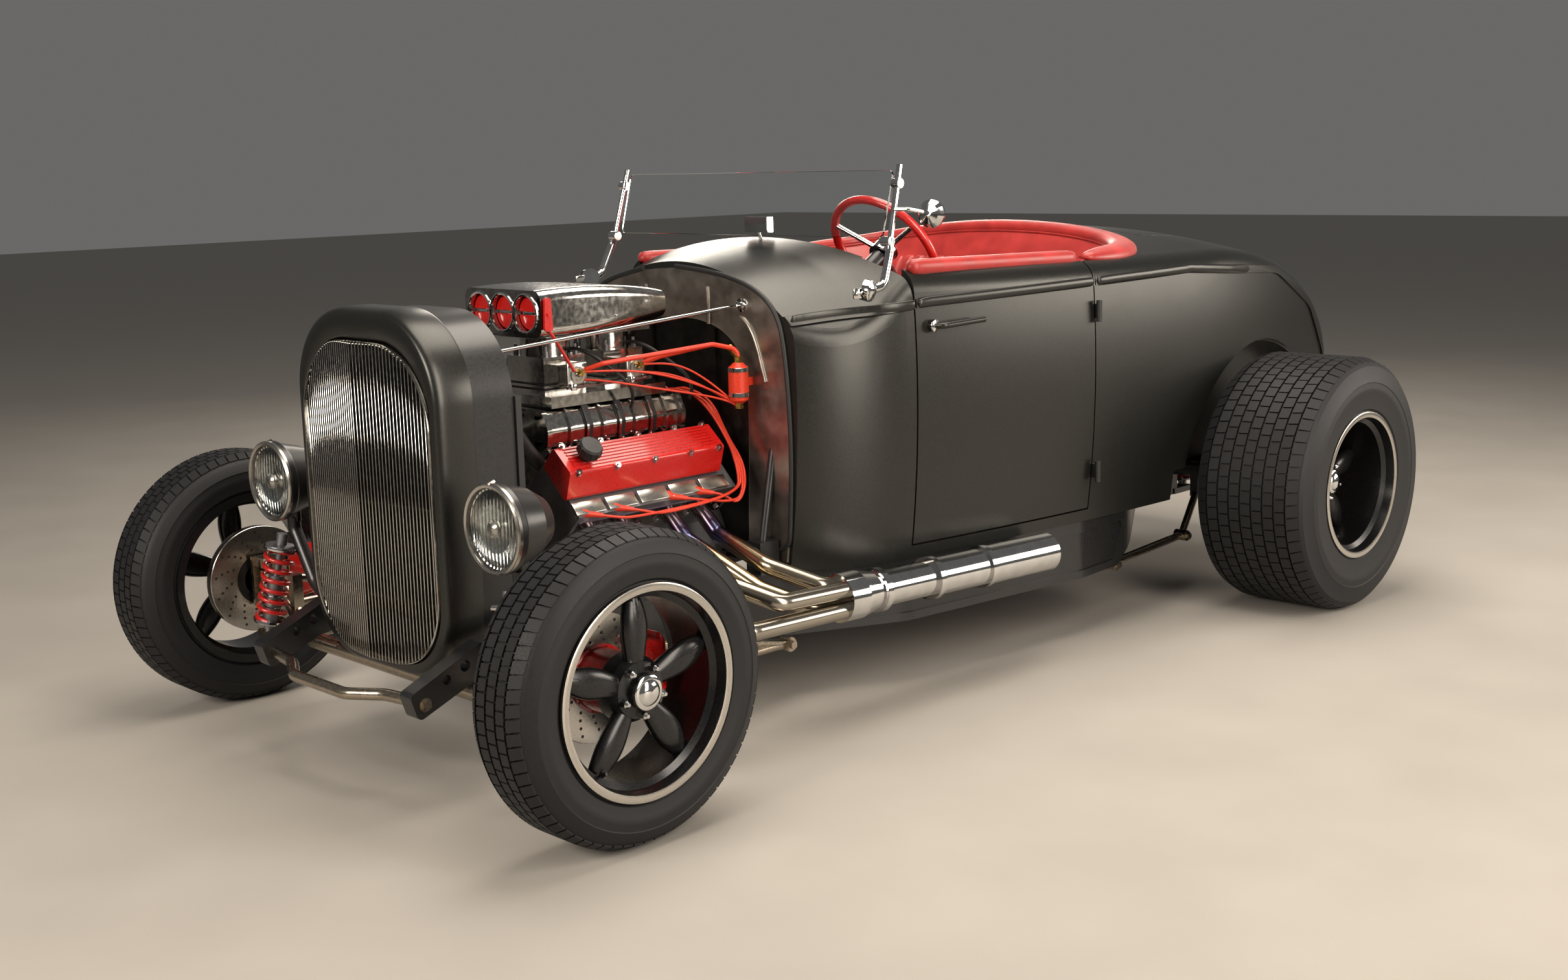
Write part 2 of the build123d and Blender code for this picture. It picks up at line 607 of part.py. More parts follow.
def knuckle(side):
    """Kingpin, yoke, spindle, steering arm and caliper of one front wheel."""
    x, z = side * kingpin_x, front_tyre_radius
    pin = rod((x, aft(0), 262), (x, aft(0), 404), kingpin_radius)
    ears = [rod((x, aft(0), 374), (x, aft(0), 400), 24), rod((x, aft(0), 268), (x, aft(0), 294), 24)]
    yoke_low, yoke_high = sorted((side * (kingpin_x + 31), side * (kingpin_x + 42)))
    yoke = block((yoke_low, aft(-30), 268), (yoke_high, aft(30), 400))
    ties = []
    for z_from, z_to in ((374, 400), (268, 294)):
        low, high = sorted((side * kingpin_x, side * (kingpin_x + 36)))
        ties.append(block((low, aft(-22), z_from), (high, aft(22), z_to)))
    spindle = rod((side * (kingpin_x + 36), aft(0), z), (side * (front_wheel_x + 46), aft(0), z), 16)
    arm = bent_tube([(x, aft(10), 276), (x, aft(70), 262), (x, aft(steer_arm), 262)], 11, 30)
    arm += rod((x, aft(steer_arm), 250), (x, aft(steer_arm), 274), 15)
    arm -= rod((x, aft(steer_arm), 200), (x, aft(steer_arm), 300), 6.5)
    body = pin + ears + yoke + ties + spindle + arm
    shield = caliper(side, front_disc_x, aft(0), z, 140)
    return [body + shield]


def tie_rod():
    z = 236
    bar = rod((-kingpin_x, aft(steer_arm), z), (kingpin_x, aft(steer_arm), z), 9)
    ends = both_sides(rod((kingpin_x, aft(steer_arm), z - 11), (kingpin_x, aft(steer_arm), z + 9), 14),
                      rod((kingpin_x, aft(steer_arm), z), (kingpin_x, aft(steer_arm), z + 42), 6))
    return [bar + ends]


hub_face = 70                           # wheel hub's outer face, out from the wheel's middle plane


def wheel(side, centre_x, y, z, flange, half_width, disc_x, disc_radius, stub_end, stub_radius):
    """Rim, five petal spokes, hub and brake disc of one wheel; places run outwards from its middle plane."""
    origin = (side * centre_x, y, z)
    out = (side, 0, 0)
    w = half_width
    rim = turned([(-w, flange), (-w + 6, flange), (-w + 8, flange - 12), (-w + 26, flange - 14), (-w + 34, flange - 26),
                  (w - 34, flange - 26), (w - 26, flange - 14), (w - 8, flange - 12), (w - 6, flange), (w, flange),
                  (w + 3, flange - 6), (w, flange - 16), (w - 24, flange - 21), (w - 34, flange - 33),
                  (-w + 36, flange - 33), (-w + 26, flange - 21), (-w, flange - 19)], origin, out)
    hub = turned([(hub_face - 62, 0), (hub_face - 62, 74), (hub_face - 30, 70), (hub_face - 12, 60), (hub_face - 8, 38),
                  (hub_face + 8, 34), (hub_face + 14, 20), (hub_face + 14, 0)], origin, out)
    spokes = []
    for index in range(5):
        angle = math.radians(90 + 72 * index)
        radial = Vector(0, math.cos(angle), math.sin(angle))
        sections = []
        for radius, wide, thick, level in ((40, 40, 30, hub_face - 34), (110, 46, 34, hub_face - 26),
                                           (flange - 58, 40, 30, hub_face - 26), (flange - 29, 26, 24, hub_face - 30)):
            centre = Vector(*origin) + radial * radius + Vector(side * level, 0, 0)
            sections.append(Plane(origin=centre, x_dir=(1, 0, 0), z_dir=radial) * Ellipse(thick / 2, wide / 2))
        spokes.append(loft(sections))
    wheel_solid = rim + hub + spokes
    disc_level = disc_x - centre_x
    disc = turned([(disc_level - disc_thickness / 2, 60), (disc_level - disc_thickness / 2, disc_radius),
                   (disc_level + disc_thickness / 2, disc_radius), (disc_level + disc_thickness / 2, 60)], origin, out)
    hat = turned([(disc_level - disc_thickness / 2, 44), (disc_level - disc_thickness / 2, 62),
                  (hub_face - 60, 62), (hub_face - 60, 44)], origin, out)
    wheel_solid += disc + hat
    bore = turned([(disc_level - 60, 0), (disc_level - 60, stub_radius + 0.5), (stub_end + 6, stub_radius + 0.5),
                   (stub_end + 6, 0)], origin, out)
    return [wheel_solid - bore]


def tyre(side, centre_x, y, radius, flange, half_width, bead_half):
    """Closed tyre ring with a bulged wall and a flat tread."""
    origin = (side * centre_x, y, radius)
    w, b = half_width, bead_half
    profile = [(-b, flange - 12), (-b, flange + 6), (-w, (flange + radius) / 2 - 12), (-w + 10, radius - 24),
               (-w + 34, radius - 4), (-w + 60, radius), (w - 60, radius), (w - 34, radius - 4), (w - 10, radius - 24),
               (w, (flange + radius) / 2 - 12), (b, flange + 6), (b, flange - 12)]
    side_dir = Vector(side, 0, 0)
    plane = Plane(origin=origin, x_dir=side_dir, z_dir=side_dir.cross(Vector(0, 0, 1)))
    face = plane * make_face(Polyline(*profile, close=True))
    return [revolve(face, axis=Axis(origin, side_dir))]


# Engine: a vee with banks at 45 degrees either side, blown, with its intake on top

crank_z = 410
engine_front = aft(330)
engine_back = aft(850)
port_places = (aft(380), aft(484), aft(640), aft(744))
cover_front = aft(306)
cover_back = aft(806)


def bank_prism(points, y_from, y_to):
    """Solid along the engine from an outline of (x, z) points on its left bank, and its mirror image."""
    return both_sides(front_slab(points, y_from, y_to))


def engine_block():
    """Crankcase, both banks, heads and sump in one casting outline."""
    crankcase = front_slab([(-150, 356), (150, 356), (170, 400), (170, 470), (60, 600), (-60, 600), (-170, 470),
                            (-170, 400)], engine_front, engine_back)
    heads = bank_prism([(268, 567), (144, 691), (60, 608), (140, 440), (190, 489)], aft(322), aft(838))
    sump = front_slab([(-120, 232), (120, 232), (150, 300), (150, 356), (-150, 356), (-150, 300)], aft(420), aft(800), 24)
    bell = turned([(0, 0), (0, 160), (60, 150), (130, 112), (130, 0)], (0, engine_back, crank_z - 20), (0, 1, 0))
    bell &= block((-300, engine_back, 250), (300, aft(912), 900))
    mounts_left = block((160, aft(380), 372), (286, aft(430), 400))
    return [crankcase + heads + sump + bell + both_sides(mounts_left)]


def gearbox():
    case = turned([(0, 0), (0, 108), (60, 104), (420, 78), (520, 60), (640, 46), (640, 0)], (0, aft(924), crank_z - 20),
                  (0, 1, -0.03))
    return [case]


def propshaft():
    start, end = Vector(0, aft(1572), 372), Vector(0, aft(2518), rear_tyre_radius)
    return [rod(start, end, 36) + rod(start, start + Vector(0, 40, 0), 44) + rod(end - Vector(0, 40, 0), end, 44)]


def valve_covers():
    """Ribbed covers on the heads' slanted tops."""
    outline = [(240, 600), (262, 677), (200, 731), (156, 682)]
    cover = front_slab(outline, cover_front, cover_back, 9)
    along = Vector(-62, 0, 54).normalized()
    out = Vector(54, 0, 62).normalized()
    fins = []
    for index in range(7):
        foot = Vector(256, 0, 679) + along * (7 + index * 9.6)
        corners = [foot, foot + out * 5, foot + out * 5 + along * 4, foot + along * 4 - out * 3, foot - out * 3]
        fins.append(front_slab([(corner.X, corner.Z) for corner in corners], cover_front + 22, cover_back - 22))
    return both_sides(cover + fins)


def supercharger():
    """Two-lobe blower case on its intake manifold, with end plates and side ribs."""
    manifold = front_slab([(-120, 640), (-140, 690), (-122, 712), (122, 712), (140, 690), (120, 640), (50, 600),
                           (-50, 600)], aft(350), aft(812))
    outline = [(-128, 712), (128, 712), (134, 760), (112, 806), (-112, 806), (-134, 760)]
    case = front_slab(outline, aft(352), aft(772), 24)
    plates = [front_slab([(x * 1.06, 760 + (z - 760) * 1.08) for x, z in outline], y_from, y_from + 14, 24)
              for y_from in (aft(338), aft(772))]
    ribs = [front_slab([(x * 1.05, 760 + (z - 760) * 1.06) for x, z in outline], y, y + 6, 24)
            for y in [aft(410 + 52 * index) for index in range(7)]]
    snout = rod((0, aft(259), 760), (0, aft(340), 760), 46)
    return [manifold + case + plates + ribs + snout]


def blower_drive():
    """Crank and blower pulleys inside a wide toothed belt."""
    front, back = aft(186), aft(252)
    places = ((0, 760, 74), (0, 420, 84))
    def ring(extra):
        rounds = [Pos(x, z) * Circle(radius + extra) for x, z, radius in places]
        edges = [edge for circle in rounds for edge in circle.edges()]
        return make_hull(edges)
    belt_face = ring(7) - ring(0)
    plane = Plane(origin=(0, back, 0), x_dir=(1, 0, 0), z_dir=(0, -1, 0))
    belt = extrude(plane * belt_face, amount=back - front)
    pulleys = []
    for x, z, radius in places:
        pulleys.append(turned([(-4, 20), (-4, radius + 5), (0, radius + 5), (0, radius), (66, radius), (66, radius + 5),
                               (70, radius + 5), (70, 20)], (x, front, z), (0, 1, 0)))
    crank = rod((0, front - 8, 420), (0, aft(320), 420), 24)
    nose = rod((0, front - 8, 760), (0, aft(258), 760), 24)
    idler = rod((118, front + 6, 600), (118, back - 2, 600), 30) + rod((118, back - 2, 600), (118, aft(320), 600), 9)
    return [belt + pulleys + crank + nose, idler]


def carburettors():
    """Two square carburettors on an adaptor plate, with their bowls and side plates."""
    plate = block((-116, aft(372), 810), (116, aft(742), 838))
    bodies = []
    for y in (aft(450), aft(640)):
        bodies.append(block((-74, y - 64, 838), (74, y + 64, 930)))
        bodies.append(block((-100, y - 40, 856), (100, y + 40, 912)))
        bodies.append(block((-118, y - 26, 866), (118, y + 26, 906)))
        bodies.append(rod((0, y, 930), (0, y, 976), 62))
    return [plate + bodies]


scoop_front = aft(326)
butterfly_pitch = 92
butterfly_z = 1044


def air_scoop():
    """Flat intake scoop with three round mouths, tapering to the rear."""
    def section(y, half, low, high):
        plane = Plane(origin=(0, y, (low + high) / 2), x_dir=(1, 0, 0), z_dir=(0, -1, 0))
        return plane * RectangleRounded(2 * half, high - low, 26)
    scoop = loft([section(scoop_front, 152, 986, 1100), section(aft(560), 148, 990, 1098), section(aft(752), 116, 1004, 1074)])
    for x in (-butterfly_pitch, 0, butterfly_pitch):
        scoop -= rod((x, scoop_front - 5, butterfly_z), (x, scoop_front + 70, butterfly_z), 42)
    base = block((-96, aft(380), 976), (96, aft(712), 992))
    return [scoop + base]


def scoop_butterflies():
    discs = [rod((x, scoop_front + 12, butterfly_z), (x, scoop_front + 15, butterfly_z), 40)
             for x in (-butterfly_pitch, 0, butterfly_pitch)]
    shaft = rod((-150, scoop_front + 13, butterfly_z), (168, scoop_front + 13, butterfly_z), 4)
    lever = side_slab([(scoop_front, butterfly_z - 40), (scoop_front + 26, butterfly_z - 40),
                       (scoop_front + 22, butterfly_z + 40), (scoop_front + 4, butterfly_z + 40)], 158, 164, 8)
    link = rod((161, scoop_front + 13, butterfly_z - 34), (150, aft(420), 900), 4)
    return [Compound(children=discs) + shaft + lever + link]


distributor_y = aft(841)


def distributor():
    """Distributor's shaft and cap, standing behind the blower."""
    return turned([(-52, 0), (-52, 26), (60, 26), (64, 48), (100, 46), (106, 30), (118, 26), (118, 0)],
                  (0, distributor_y, 650), (0, 0, 1))


collector_start = Vector(606, aft(852), 320)
collector_end = Vector(662, aft(1640), 308)


def exhaust_headers():
    """Four tubes a side, from the heads' ports over the rails into a square bundle."""
    headers = []
    seats = ((25, -25), (25, 25), (-25, -25), (-25, 25))
    flange = front_slab([(244, 556), (196, 508), (203, 500), (252, 548)], aft(334), aft(826))
    for (across, up), port_y in zip(seats, port_places):
        end = collector_start + Vector(across, 0, up)
        bend_y = min(port_y + 150, aft(826))
        path = [Vector(222, port_y, 524), Vector(286, port_y + 6, 460), (end.X - 110, bend_y - 78, end.Z + 56),
                (end.X - 6, bend_y, end.Z + 8), end + Vector(2, 24, 0)]
        flange += bent_tube(path, 22, [34, 50, 40 if port_y < port_places[3] else 24])
    return both_sides(flange)


def side_pipes():
    """Collector and three-stage pipe along each sill, with band clamps and a hanger to the rail."""
    line = (collector_end - collector_start).normalized()
    length = (collector_end - collector_start).length
    pipe = turned([(0, 0), (0, 62), (60, 62), (120, 50), (130, 46), (330, 46), (334, 50), (520, 50), (524, 53),
                   (length, 53), (length, 46), (length - 60, 46), (length - 60, 0)], collector_start, line)
    for place in (134, 326, 524):
        pipe += turned([(-9, 40), (-9, 57), (9, 57), (9, 40)], collector_start + line * place, line)
    hanger_y = (collector_start + line * 430).Y
    pipe += block((520, hanger_y - 12, 286), (600, hanger_y + 12, 306))
    return both_sides(pipe)


def ignition():
    """Distributor behind the blower, and its leads over the covers to the plugs in each head's side."""
    cap = distributor()
    leads = []
    for index, y in enumerate(port_places):
        top = Vector(36, distributor_y - 24 + 14 * index, 750)
        path = [top, top + Vector(6, 0, 36), (150 + 5 * index, aft(822) + 8 * index, 800 - 10 * index),
                (232, y + 92, 782 - 12 * index), (286, y + 44, 690), (292, y + 32, 610), (258, y + 30, 568)]
        leads.append(bent_tube(path, 4, [16, 26, 30, 26, 20]) - cap)
    return [cap, *both_sides(*leads)]


def fuel_lines():
    """Filter on the firewall and the two lines from it to the carburettors."""
    canister = turned([(0, 0), (0, 12), (8, 24), (26, 26), (92, 26), (96, 20), (104, 12), (104, 0)], (280, aft(846), 784),
                      (0, 0, 1))
    strap = block((276, aft(868), 826), (284, aft(906), 846))
    lines = []
    for y in (aft(450), aft(640)):
        lines.append(bent_tube([(280, aft(846), 884), (280, aft(846), 922), (236, aft(800), 936), (150, y + 60, 910),
                                (110, y + 10, 890)], 6, 24))
    return [canister + strap + lines]


# Steering, tail and cabin pieces

steering_centre = Vector(337, aft(1352), 1146)
column_line = Vector(0, -0.84, -0.5426).normalized()
steering_radius = 172


def steering_column():
    end = steering_centre + column_line * 486
    column = rod(steering_centre + column_line * 30, end, 22)
    gate = rod(steering_centre + column_line * 120, steering_centre + column_line * 160, 30)
    lower = rod(end - column_line * 10, (342, aft(856), 424), 11)
    box = block((316, aft(822), 340), (368, aft(890), 432))
    return [column + gate + lower + box]


def steering_wheel():
    """Thin rim on three round spokes, dished towards the driver."""
    plane = Plane(origin=steering_centre, x_dir=(1, 0, 0), z_dir=column_line * -1)
    wheel_solid = rod(steering_centre + column_line * 26, steering_centre + column_line * -8, 34)
    for angle in (90, 210, 330):
        turn = math.radians(angle)
        tip = plane.from_local_coords(Vector(math.cos(turn), math.sin(turn), 0) * (steering_radius - 14))
        wheel_solid += rod(steering_centre + column_line * 8, tip, 7)
    section = [(10 * math.sin(math.radians(angle)), steering_radius - 10 + 10 * math.cos(math.radians(angle)))
               for angle in range(15, 375, 30)]
    return [wheel_solid + turned(section, steering_centre, column_line)]


def fuel_tank():
    outline = [(aft(3150), 250), (aft(3464), 300), (aft(3490), 340), (aft(3478), 430), (aft(3150), 430)]
    tank = side_slab(outline, -404, 404, 24)
    cap = rod((280, aft(3464), 392), (280, rear_reach_y, 392), 30)
    return [tank + cap]


def tail_lamps():
    lamp = turned([(0, 0), (0, 40), (26, 44), (34, 38), (40, 0)], (470, aft(3452), 520), (0, 1, 0))
    stem = rod((470, aft(3440), 440), (470, aft(3470), 500), 9)
    return both_sides(lamp + stem)


def gear_lever():
    return [rod((0, aft(1500), 500), (0, aft(1540), 800), 7) + rod((0, aft(1538), 790), (0, aft(1542), 830), 22)]


# Wheels and tyres of each end: (end, middle plane x, y, tyre radius, rim flange radius, rim half width, tyre half
# width, bead half width, disc x, disc radius, stub's end from the middle plane, stub radius)
axle_ends = (
    ("front", front_wheel_x, aft(0), front_tyre_radius, front_rim_radius, 90, front_tyre_width / 2, 82, front_disc_x,
     140, 46, 16),
    ("rear", rear_wheel_x, rear_axle_y, rear_tyre_radius, rear_rim_radius, 175, rear_tyre_width / 2, 167, rear_disc_x,
     150, 40, 18),
)

# A piece that seats in or on another is cut to it: (piece, what it seats against)
seatings = (
    ("cockpit_trim", "rear_body"), ("door_trim_left", "door_left"), ("door_trim_right", "door_right"),
    ("supercharger", "engine_block"), ("air_scoop", "scoop_butterflies"), ("crossmembers", "frame_rails"),
    ("headlamps", "frame_rails"), ("radius_rods", "frame_rails"), ("radius_rods", "front_axle"),
    ("radius_rods", "rear_axle"), ("dampers", "front_axle"), ("dampers", "headlamps"), ("dampers", "rear_axle"),
    ("dampers", "crossmembers"), ("windscreen_posts", "cowl"), ("spreader_bars", "frame_rails"),
    ("exhaust_headers", "engine_block"), ("side_pipes", "exhaust_headers"), ("side_pipes", "frame_rails"),
    ("support_rods", "firewall"), ("support_rods", "radiator"), ("fuel_lines", "firewall"),
    ("fuel_lines", "carburettors"), ("ignition", "engine_block"), ("ignition", "supercharger"),
    ("steering_column", "firewall"),
    ("steering_column", "dashboard"), ("steering_column", "frame_rails"), ("fuel_tank", "spreader_bars"),
    ("tail_lamps", "rear_body"), ("tail_lamps", "fuel_tank"), ("gear_lever", "floor_pan"),
)


def solids_of(pieces):
    return [solid for piece in pieces for solid in piece.solids()]


def main():
    cowl, rear, doors, decklid = body_shells()
    nodes = {"cowl": [cowl], "rear_body": [rear], "decklid": [decklid]}
    for builder in (firewall, floor_pan, dashboard, seat_cushion, seat_back, cockpit_trim, frame_rails, crossmembers,
                    spreader_bars, grille_shell, grille_insert, radiator, support_rods, headlamps, headlamp_lenses,
                    windscreen_posts, windscreen_glass, front_axle, coil_springs, dampers, radius_rods, rear_axle,
                    tie_rod, engine_block, gearbox, propshaft, valve_covers, supercharger, blower_drive, carburettors,
                    air_scoop, scoop_butterflies, exhaust_headers, side_pipes, ignition, fuel_lines, steering_column,
                    steering_wheel, gear_lever, fuel_tank, tail_lamps):
        nodes[builder.__name__] = builder()
    for name, side, door, trim in zip(("left", "right"), (1, -1), doors, door_trims()):
        nodes[f"door_{name}"] = [door + door_handle(side)]
        nodes[f"door_trim_{name}"] = trim
        nodes[f"knuckle_{name}"] = knuckle(side)
        for end, x, y, radius, flange, rim_half, tyre_half, bead_half, *brake_and_stub in axle_ends:
            nodes[f"wheel_{end}_{name}"] = wheel(side, x, y, radius, flange, rim_half, *brake_and_stub)
            nodes[f"tyre_{end}_{name}"] = tyre(side, x, y, radius, flange, tyre_half, bead_half)
    for piece, seat in seatings:
        seat_solids = solids_of(nodes[seat])
        nodes[piece] = [solid - seat_solids for solid in solids_of(nodes[piece])]
    for name, pieces in nodes.items():
        export_step(Compound(children=solids_of(pieces)), f"parts/{name}.step")


if __name__ == "__main__":
    main()
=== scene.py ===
import bpy
import bmesh
import math
from mathutils import Matrix, Vector
from mathutils.bvhtree import BVHTree


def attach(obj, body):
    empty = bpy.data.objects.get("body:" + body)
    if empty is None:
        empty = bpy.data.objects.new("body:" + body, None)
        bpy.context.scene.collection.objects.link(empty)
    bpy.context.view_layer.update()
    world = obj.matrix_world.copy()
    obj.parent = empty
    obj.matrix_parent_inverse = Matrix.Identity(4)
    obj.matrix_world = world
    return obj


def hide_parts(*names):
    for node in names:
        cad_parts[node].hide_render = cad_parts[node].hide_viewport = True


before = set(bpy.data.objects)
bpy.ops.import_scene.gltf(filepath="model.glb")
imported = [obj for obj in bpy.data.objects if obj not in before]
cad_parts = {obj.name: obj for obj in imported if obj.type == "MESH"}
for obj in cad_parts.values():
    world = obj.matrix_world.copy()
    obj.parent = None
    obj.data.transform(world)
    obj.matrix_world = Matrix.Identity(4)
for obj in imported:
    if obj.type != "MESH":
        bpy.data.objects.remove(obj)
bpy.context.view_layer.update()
print("frame loaded")

# Places the whole car shares, in metres: the front faces -Y and +X is the car's left
car = {"frontAxleY": -1.593, "rearAxleY": 1.099, "frontHubZ": 0.334, "rearHubZ": 0.385}
carSides = (("left", 1), ("right", -1))


def aft(distance):
    return car["frontAxleY"] + distance  # y this far behind the front axle


# Colours and nodes

def linear(hexColour):
    channels = [int(hexColour[i:i + 2], 16) / 255 for i in (1, 3, 5)]
    return (*[c / 12.92 if c <= 0.04045 else ((c + 0.055) / 1.055) ** 2.4 for c in channels], 1.0)


def addNode(tree, kind, values=None, links=None, **settings):
    node = tree.nodes.new(kind)
    for name, value in settings.items():
        setattr(node, name, value)
    for name, value in (values or {}).items():
        node.inputs[name].default_value = value
    for name, source in (links or {}).items():
        tree.links.new(source, node.inputs[name])
    return node


def startMaterial(name, **shaderValues):
    material = bpy.data.materials.new(name)
    material.use_nodes = True
    tree = material.node_tree
    shader = tree.nodes["Principled BSDF"]
    for label, value in shaderValues.items():
        shader.inputs[label.replace("_", " ")].default_value = value
    place = addNode(tree, "ShaderNodeTexCoord").outputs["Object"]
    return material, tree, shader, place


def mottle(tree, shader, place, colours, roughness, size, depth, detail=4.0):
    # Colour, gloss and relief from one noise: size is the grain in metres, depth its relief in metres
    grain = {"Scale": 1 / size, "Detail": detail}
    noise = addNode(tree, "ShaderNodeTexNoise", grain, {"Vector": place}).outputs["Fac"]
    ramp = addNode(tree, "ShaderNodeValToRGB", links={"Fac": noise})
    ramp.color_ramp.elements[0].position = 0.32
    ramp.color_ramp.elements[0].color = linear(colours[0])
    ramp.color_ramp.elements[1].position = 0.68
    ramp.color_ramp.elements[1].color = linear(colours[1])
    tree.links.new(ramp.outputs["Color"], shader.inputs["Base Color"])
    span = {"From Min": 0.3, "From Max": 0.7, "To Min": roughness[0], "To Max": roughness[1]}
    gloss = addNode(tree, "ShaderNodeMapRange", span, {"Value": noise}).outputs["Result"]
    tree.links.new(gloss, shader.inputs["Roughness"])
    if depth:
        relief = addNode(tree, "ShaderNodeBump", {"Distance": depth, "Strength": 0.5}, {"Height": noise})
        tree.links.new(relief.outputs["Normal"], shader.inputs["Normal"])


def satinPaint():
    # Two-pack satin over steel: dark grey, slightly metallic, with broad soft highlights
    material, tree, shader, place = startMaterial("satinPaint", Metallic=0.8, Coat_Weight=0.2,
                                                  Coat_Roughness=0.3)
    mottle(tree, shader, place, ("#30302e", "#373735"), (0.31, 0.36), 0.004, 0.00002)
    return material


def chassisEnamel():
    # Brushed satin-black enamel on the frame: near black, a little glossier than the body
    material, tree, shader, place = startMaterial("chassisEnamel", Metallic=0.1, Coat_Weight=0.3,
                                                  Coat_Roughness=0.22)
    mottle(tree, shader, place, ("#121213", "#1b1b1c"), (0.34, 0.42), 0.006, 0.00003)
    return material


def bareSteel():
    # Hand-worked bare steel under clear lacquer: dark, warm, faint brush lines and heat clouds
    material, tree, shader, place = startMaterial("bareSteel", Metallic=0.95, Coat_Weight=0.2,
                                                  Coat_Roughness=0.15)
    mottle(tree, shader, place, ("#7b746d", "#9a928a"), (0.30, 0.40), 0.05, 0, 6.0)
    brushed = addNode(tree, "ShaderNodeMapping", {"Scale": (0.06, 1, 1)}, {"Vector": place}).outputs["Vector"]
    lines = addNode(tree, "ShaderNodeTexNoise", {"Scale": 900.0, "Detail": 2.0},
                    {"Vector": brushed}).outputs["Fac"]
    relief = addNode(tree, "ShaderNodeBump", {"Distance": 0.00004, "Strength": 0.4}, {"Height": lines})
    tree.links.new(relief.outputs["Normal"], shader.inputs["Normal"])
    return material


def paintedShadeSteel():
    # The same steel on the panel in the recess behind the engine: darker by painted shade, and duller
    material, tree, shader, place = startMaterial("paintedShadeSteel", Metallic=0.8)
    mottle(tree, shader, place, ("#1c1a19", "#2c2927"), (0.34, 0.5), 0.03, 0.00004, 5.0)
    return material


def glazedCeramic():
    # Off-white glazed insulator and dial print
    material, tree, shader, place = startMaterial("glazedCeramic", IOR=1.5, Coat_Weight=0.4)
    mottle(tree, shader, place, ("#dcd8cf", "#e8e5dd"), (0.2, 0.3), 0.004, 0.00002)
    return material


def chromePlate():
    # Chrome over polished steel: mirror bright, a trace of orange peel in the reflections
    material, tree, shader, place = startMaterial("chromePlate", Metallic=1.0)
    mottle(tree, shader, place, ("#c9c9c8", "#d6d6d5"), (0.05, 0.09), 0.03, 0.00003)
    return material


def nickelPlate():
    # Satin nickel: warmer and softer than chrome
    material, tree, shader, place = startMaterial("nickelPlate", Metallic=1.0)
    mottle(tree, shader, place, ("#9d9284", "#b3a896"), (0.20, 0.28), 0.008, 0.00002)
    return material


def heatTintedSteel():
    # Stainless header tube: blue and straw bands by the port, champagne further down
    material, tree, shader, place = startMaterial("heatTintedSteel", Metallic=1.0, Roughness=0.2)
    parts = addNode(tree, "ShaderNodeSeparateXYZ", links={"Vector": place})
    reach = addNode(tree, "ShaderNodeMath", links={0: parts.outputs["X"]}, operation="ABSOLUTE").outputs[0]
    clouds = addNode(tree, "ShaderNodeTexNoise", {"Scale": 14.0, "Detail": 3.0},
                     {"Vector": place}).outputs["Fac"]
    shifted = addNode(tree, "ShaderNodeMath", {1: 0.07, 2: 0.0}, {0: clouds},
                      operation="MULTIPLY_ADD").outputs[0]
    total = addNode(tree, "ShaderNodeMath", links={0: reach, 1: shifted}, operation="ADD").outputs[0]
    along = addNode(tree, "ShaderNodeMapRange", {"From Min": 0.22, "From Max": 0.68},
                    {"Value": total}).outputs["Result"]
    ramp = addNode(tree, "ShaderNodeValToRGB", links={"Fac": along})
    ramp.color_ramp.elements[0].color = linear("#b9b2a6")
    ramp.color_ramp.elements[1].color = linear("#a69f93")
    for position, colour in ((0.16, "#6d5a68"), (0.26, "#5c6186"), (0.38, "#8c6f5a"), (0.52, "#b3a283")):
        ramp.color_ramp.elements.new(position).color = linear(colour)
    tree.links.new(ramp.outputs["Color"], shader.inputs["Base Color"])
    return material


def redEnamel():
    # Gloss red stoved enamel: deep red under a clear wet shine, faint orange peel
    material, tree, shader, place = startMaterial("redEnamel", Coat_Weight=0.6, Coat_Roughness=0.08, IOR=1.5)
    mottle(tree, shader, place, ("#a80f0c", "#bb1712"), (0.26, 0.34), 0.005, 0.00005)
    return material


def redRubber():
    # Silicone-jacketed lead: soft orange red
    material, tree, shader, place = startMaterial("redRubber", IOR=1.45)
    mottle(tree, shader, place, ("#b4270f", "#c8371a"), (0.38, 0.5), 0.004, 0.00003)
    return material


def redLeather():
    # Full-grain hide with a waxed finish: grain pebbles about 2 mm across, worn lighter on the crowns
    material, tree, shader, place = startMaterial("redLeather", IOR=1.48, Sheen_Weight=0.15, Coat_Weight=0.12,
                                                  Coat_Roughness=0.35)
    mottle(tree, shader, place, ("#8e1410", "#a51c17"), (0.36, 0.5), 0.06, 0, 3.0)
    pebble = addNode(tree, "ShaderNodeTexVoronoi", {"Scale": 420.0}, {"Vector": place}, feature="SMOOTH_F1")
    relief = addNode(tree, "ShaderNodeBump", {"Distance": 0.0003, "Strength": 0.35},
                     {"Height": pebble.outputs["Distance"]})
    tree.links.new(relief.outputs["Normal"], shader.inputs["Normal"])
    return material


def castAluminium():
    # Sand-cast alloy: pale grey with a fine pebbled skin
    material, tree, shader, place = startMaterial("castAluminium", Metallic=0.9)
    mottle(tree, shader, place, ("#77767a", "#8d8c8e"), (0.38, 0.52), 0.0022, 0.0002)
    return material


def polishedAluminium():
    # Buffed alloy: bright, slightly soft reflections with buffing swirls
    material, tree, shader, place = startMaterial("polishedAluminium", Metallic=1.0)
    mottle(tree, shader, place, ("#b4b2ad", "#cac8c3"), (0.10, 0.18), 0.012, 0.00004)
    return material


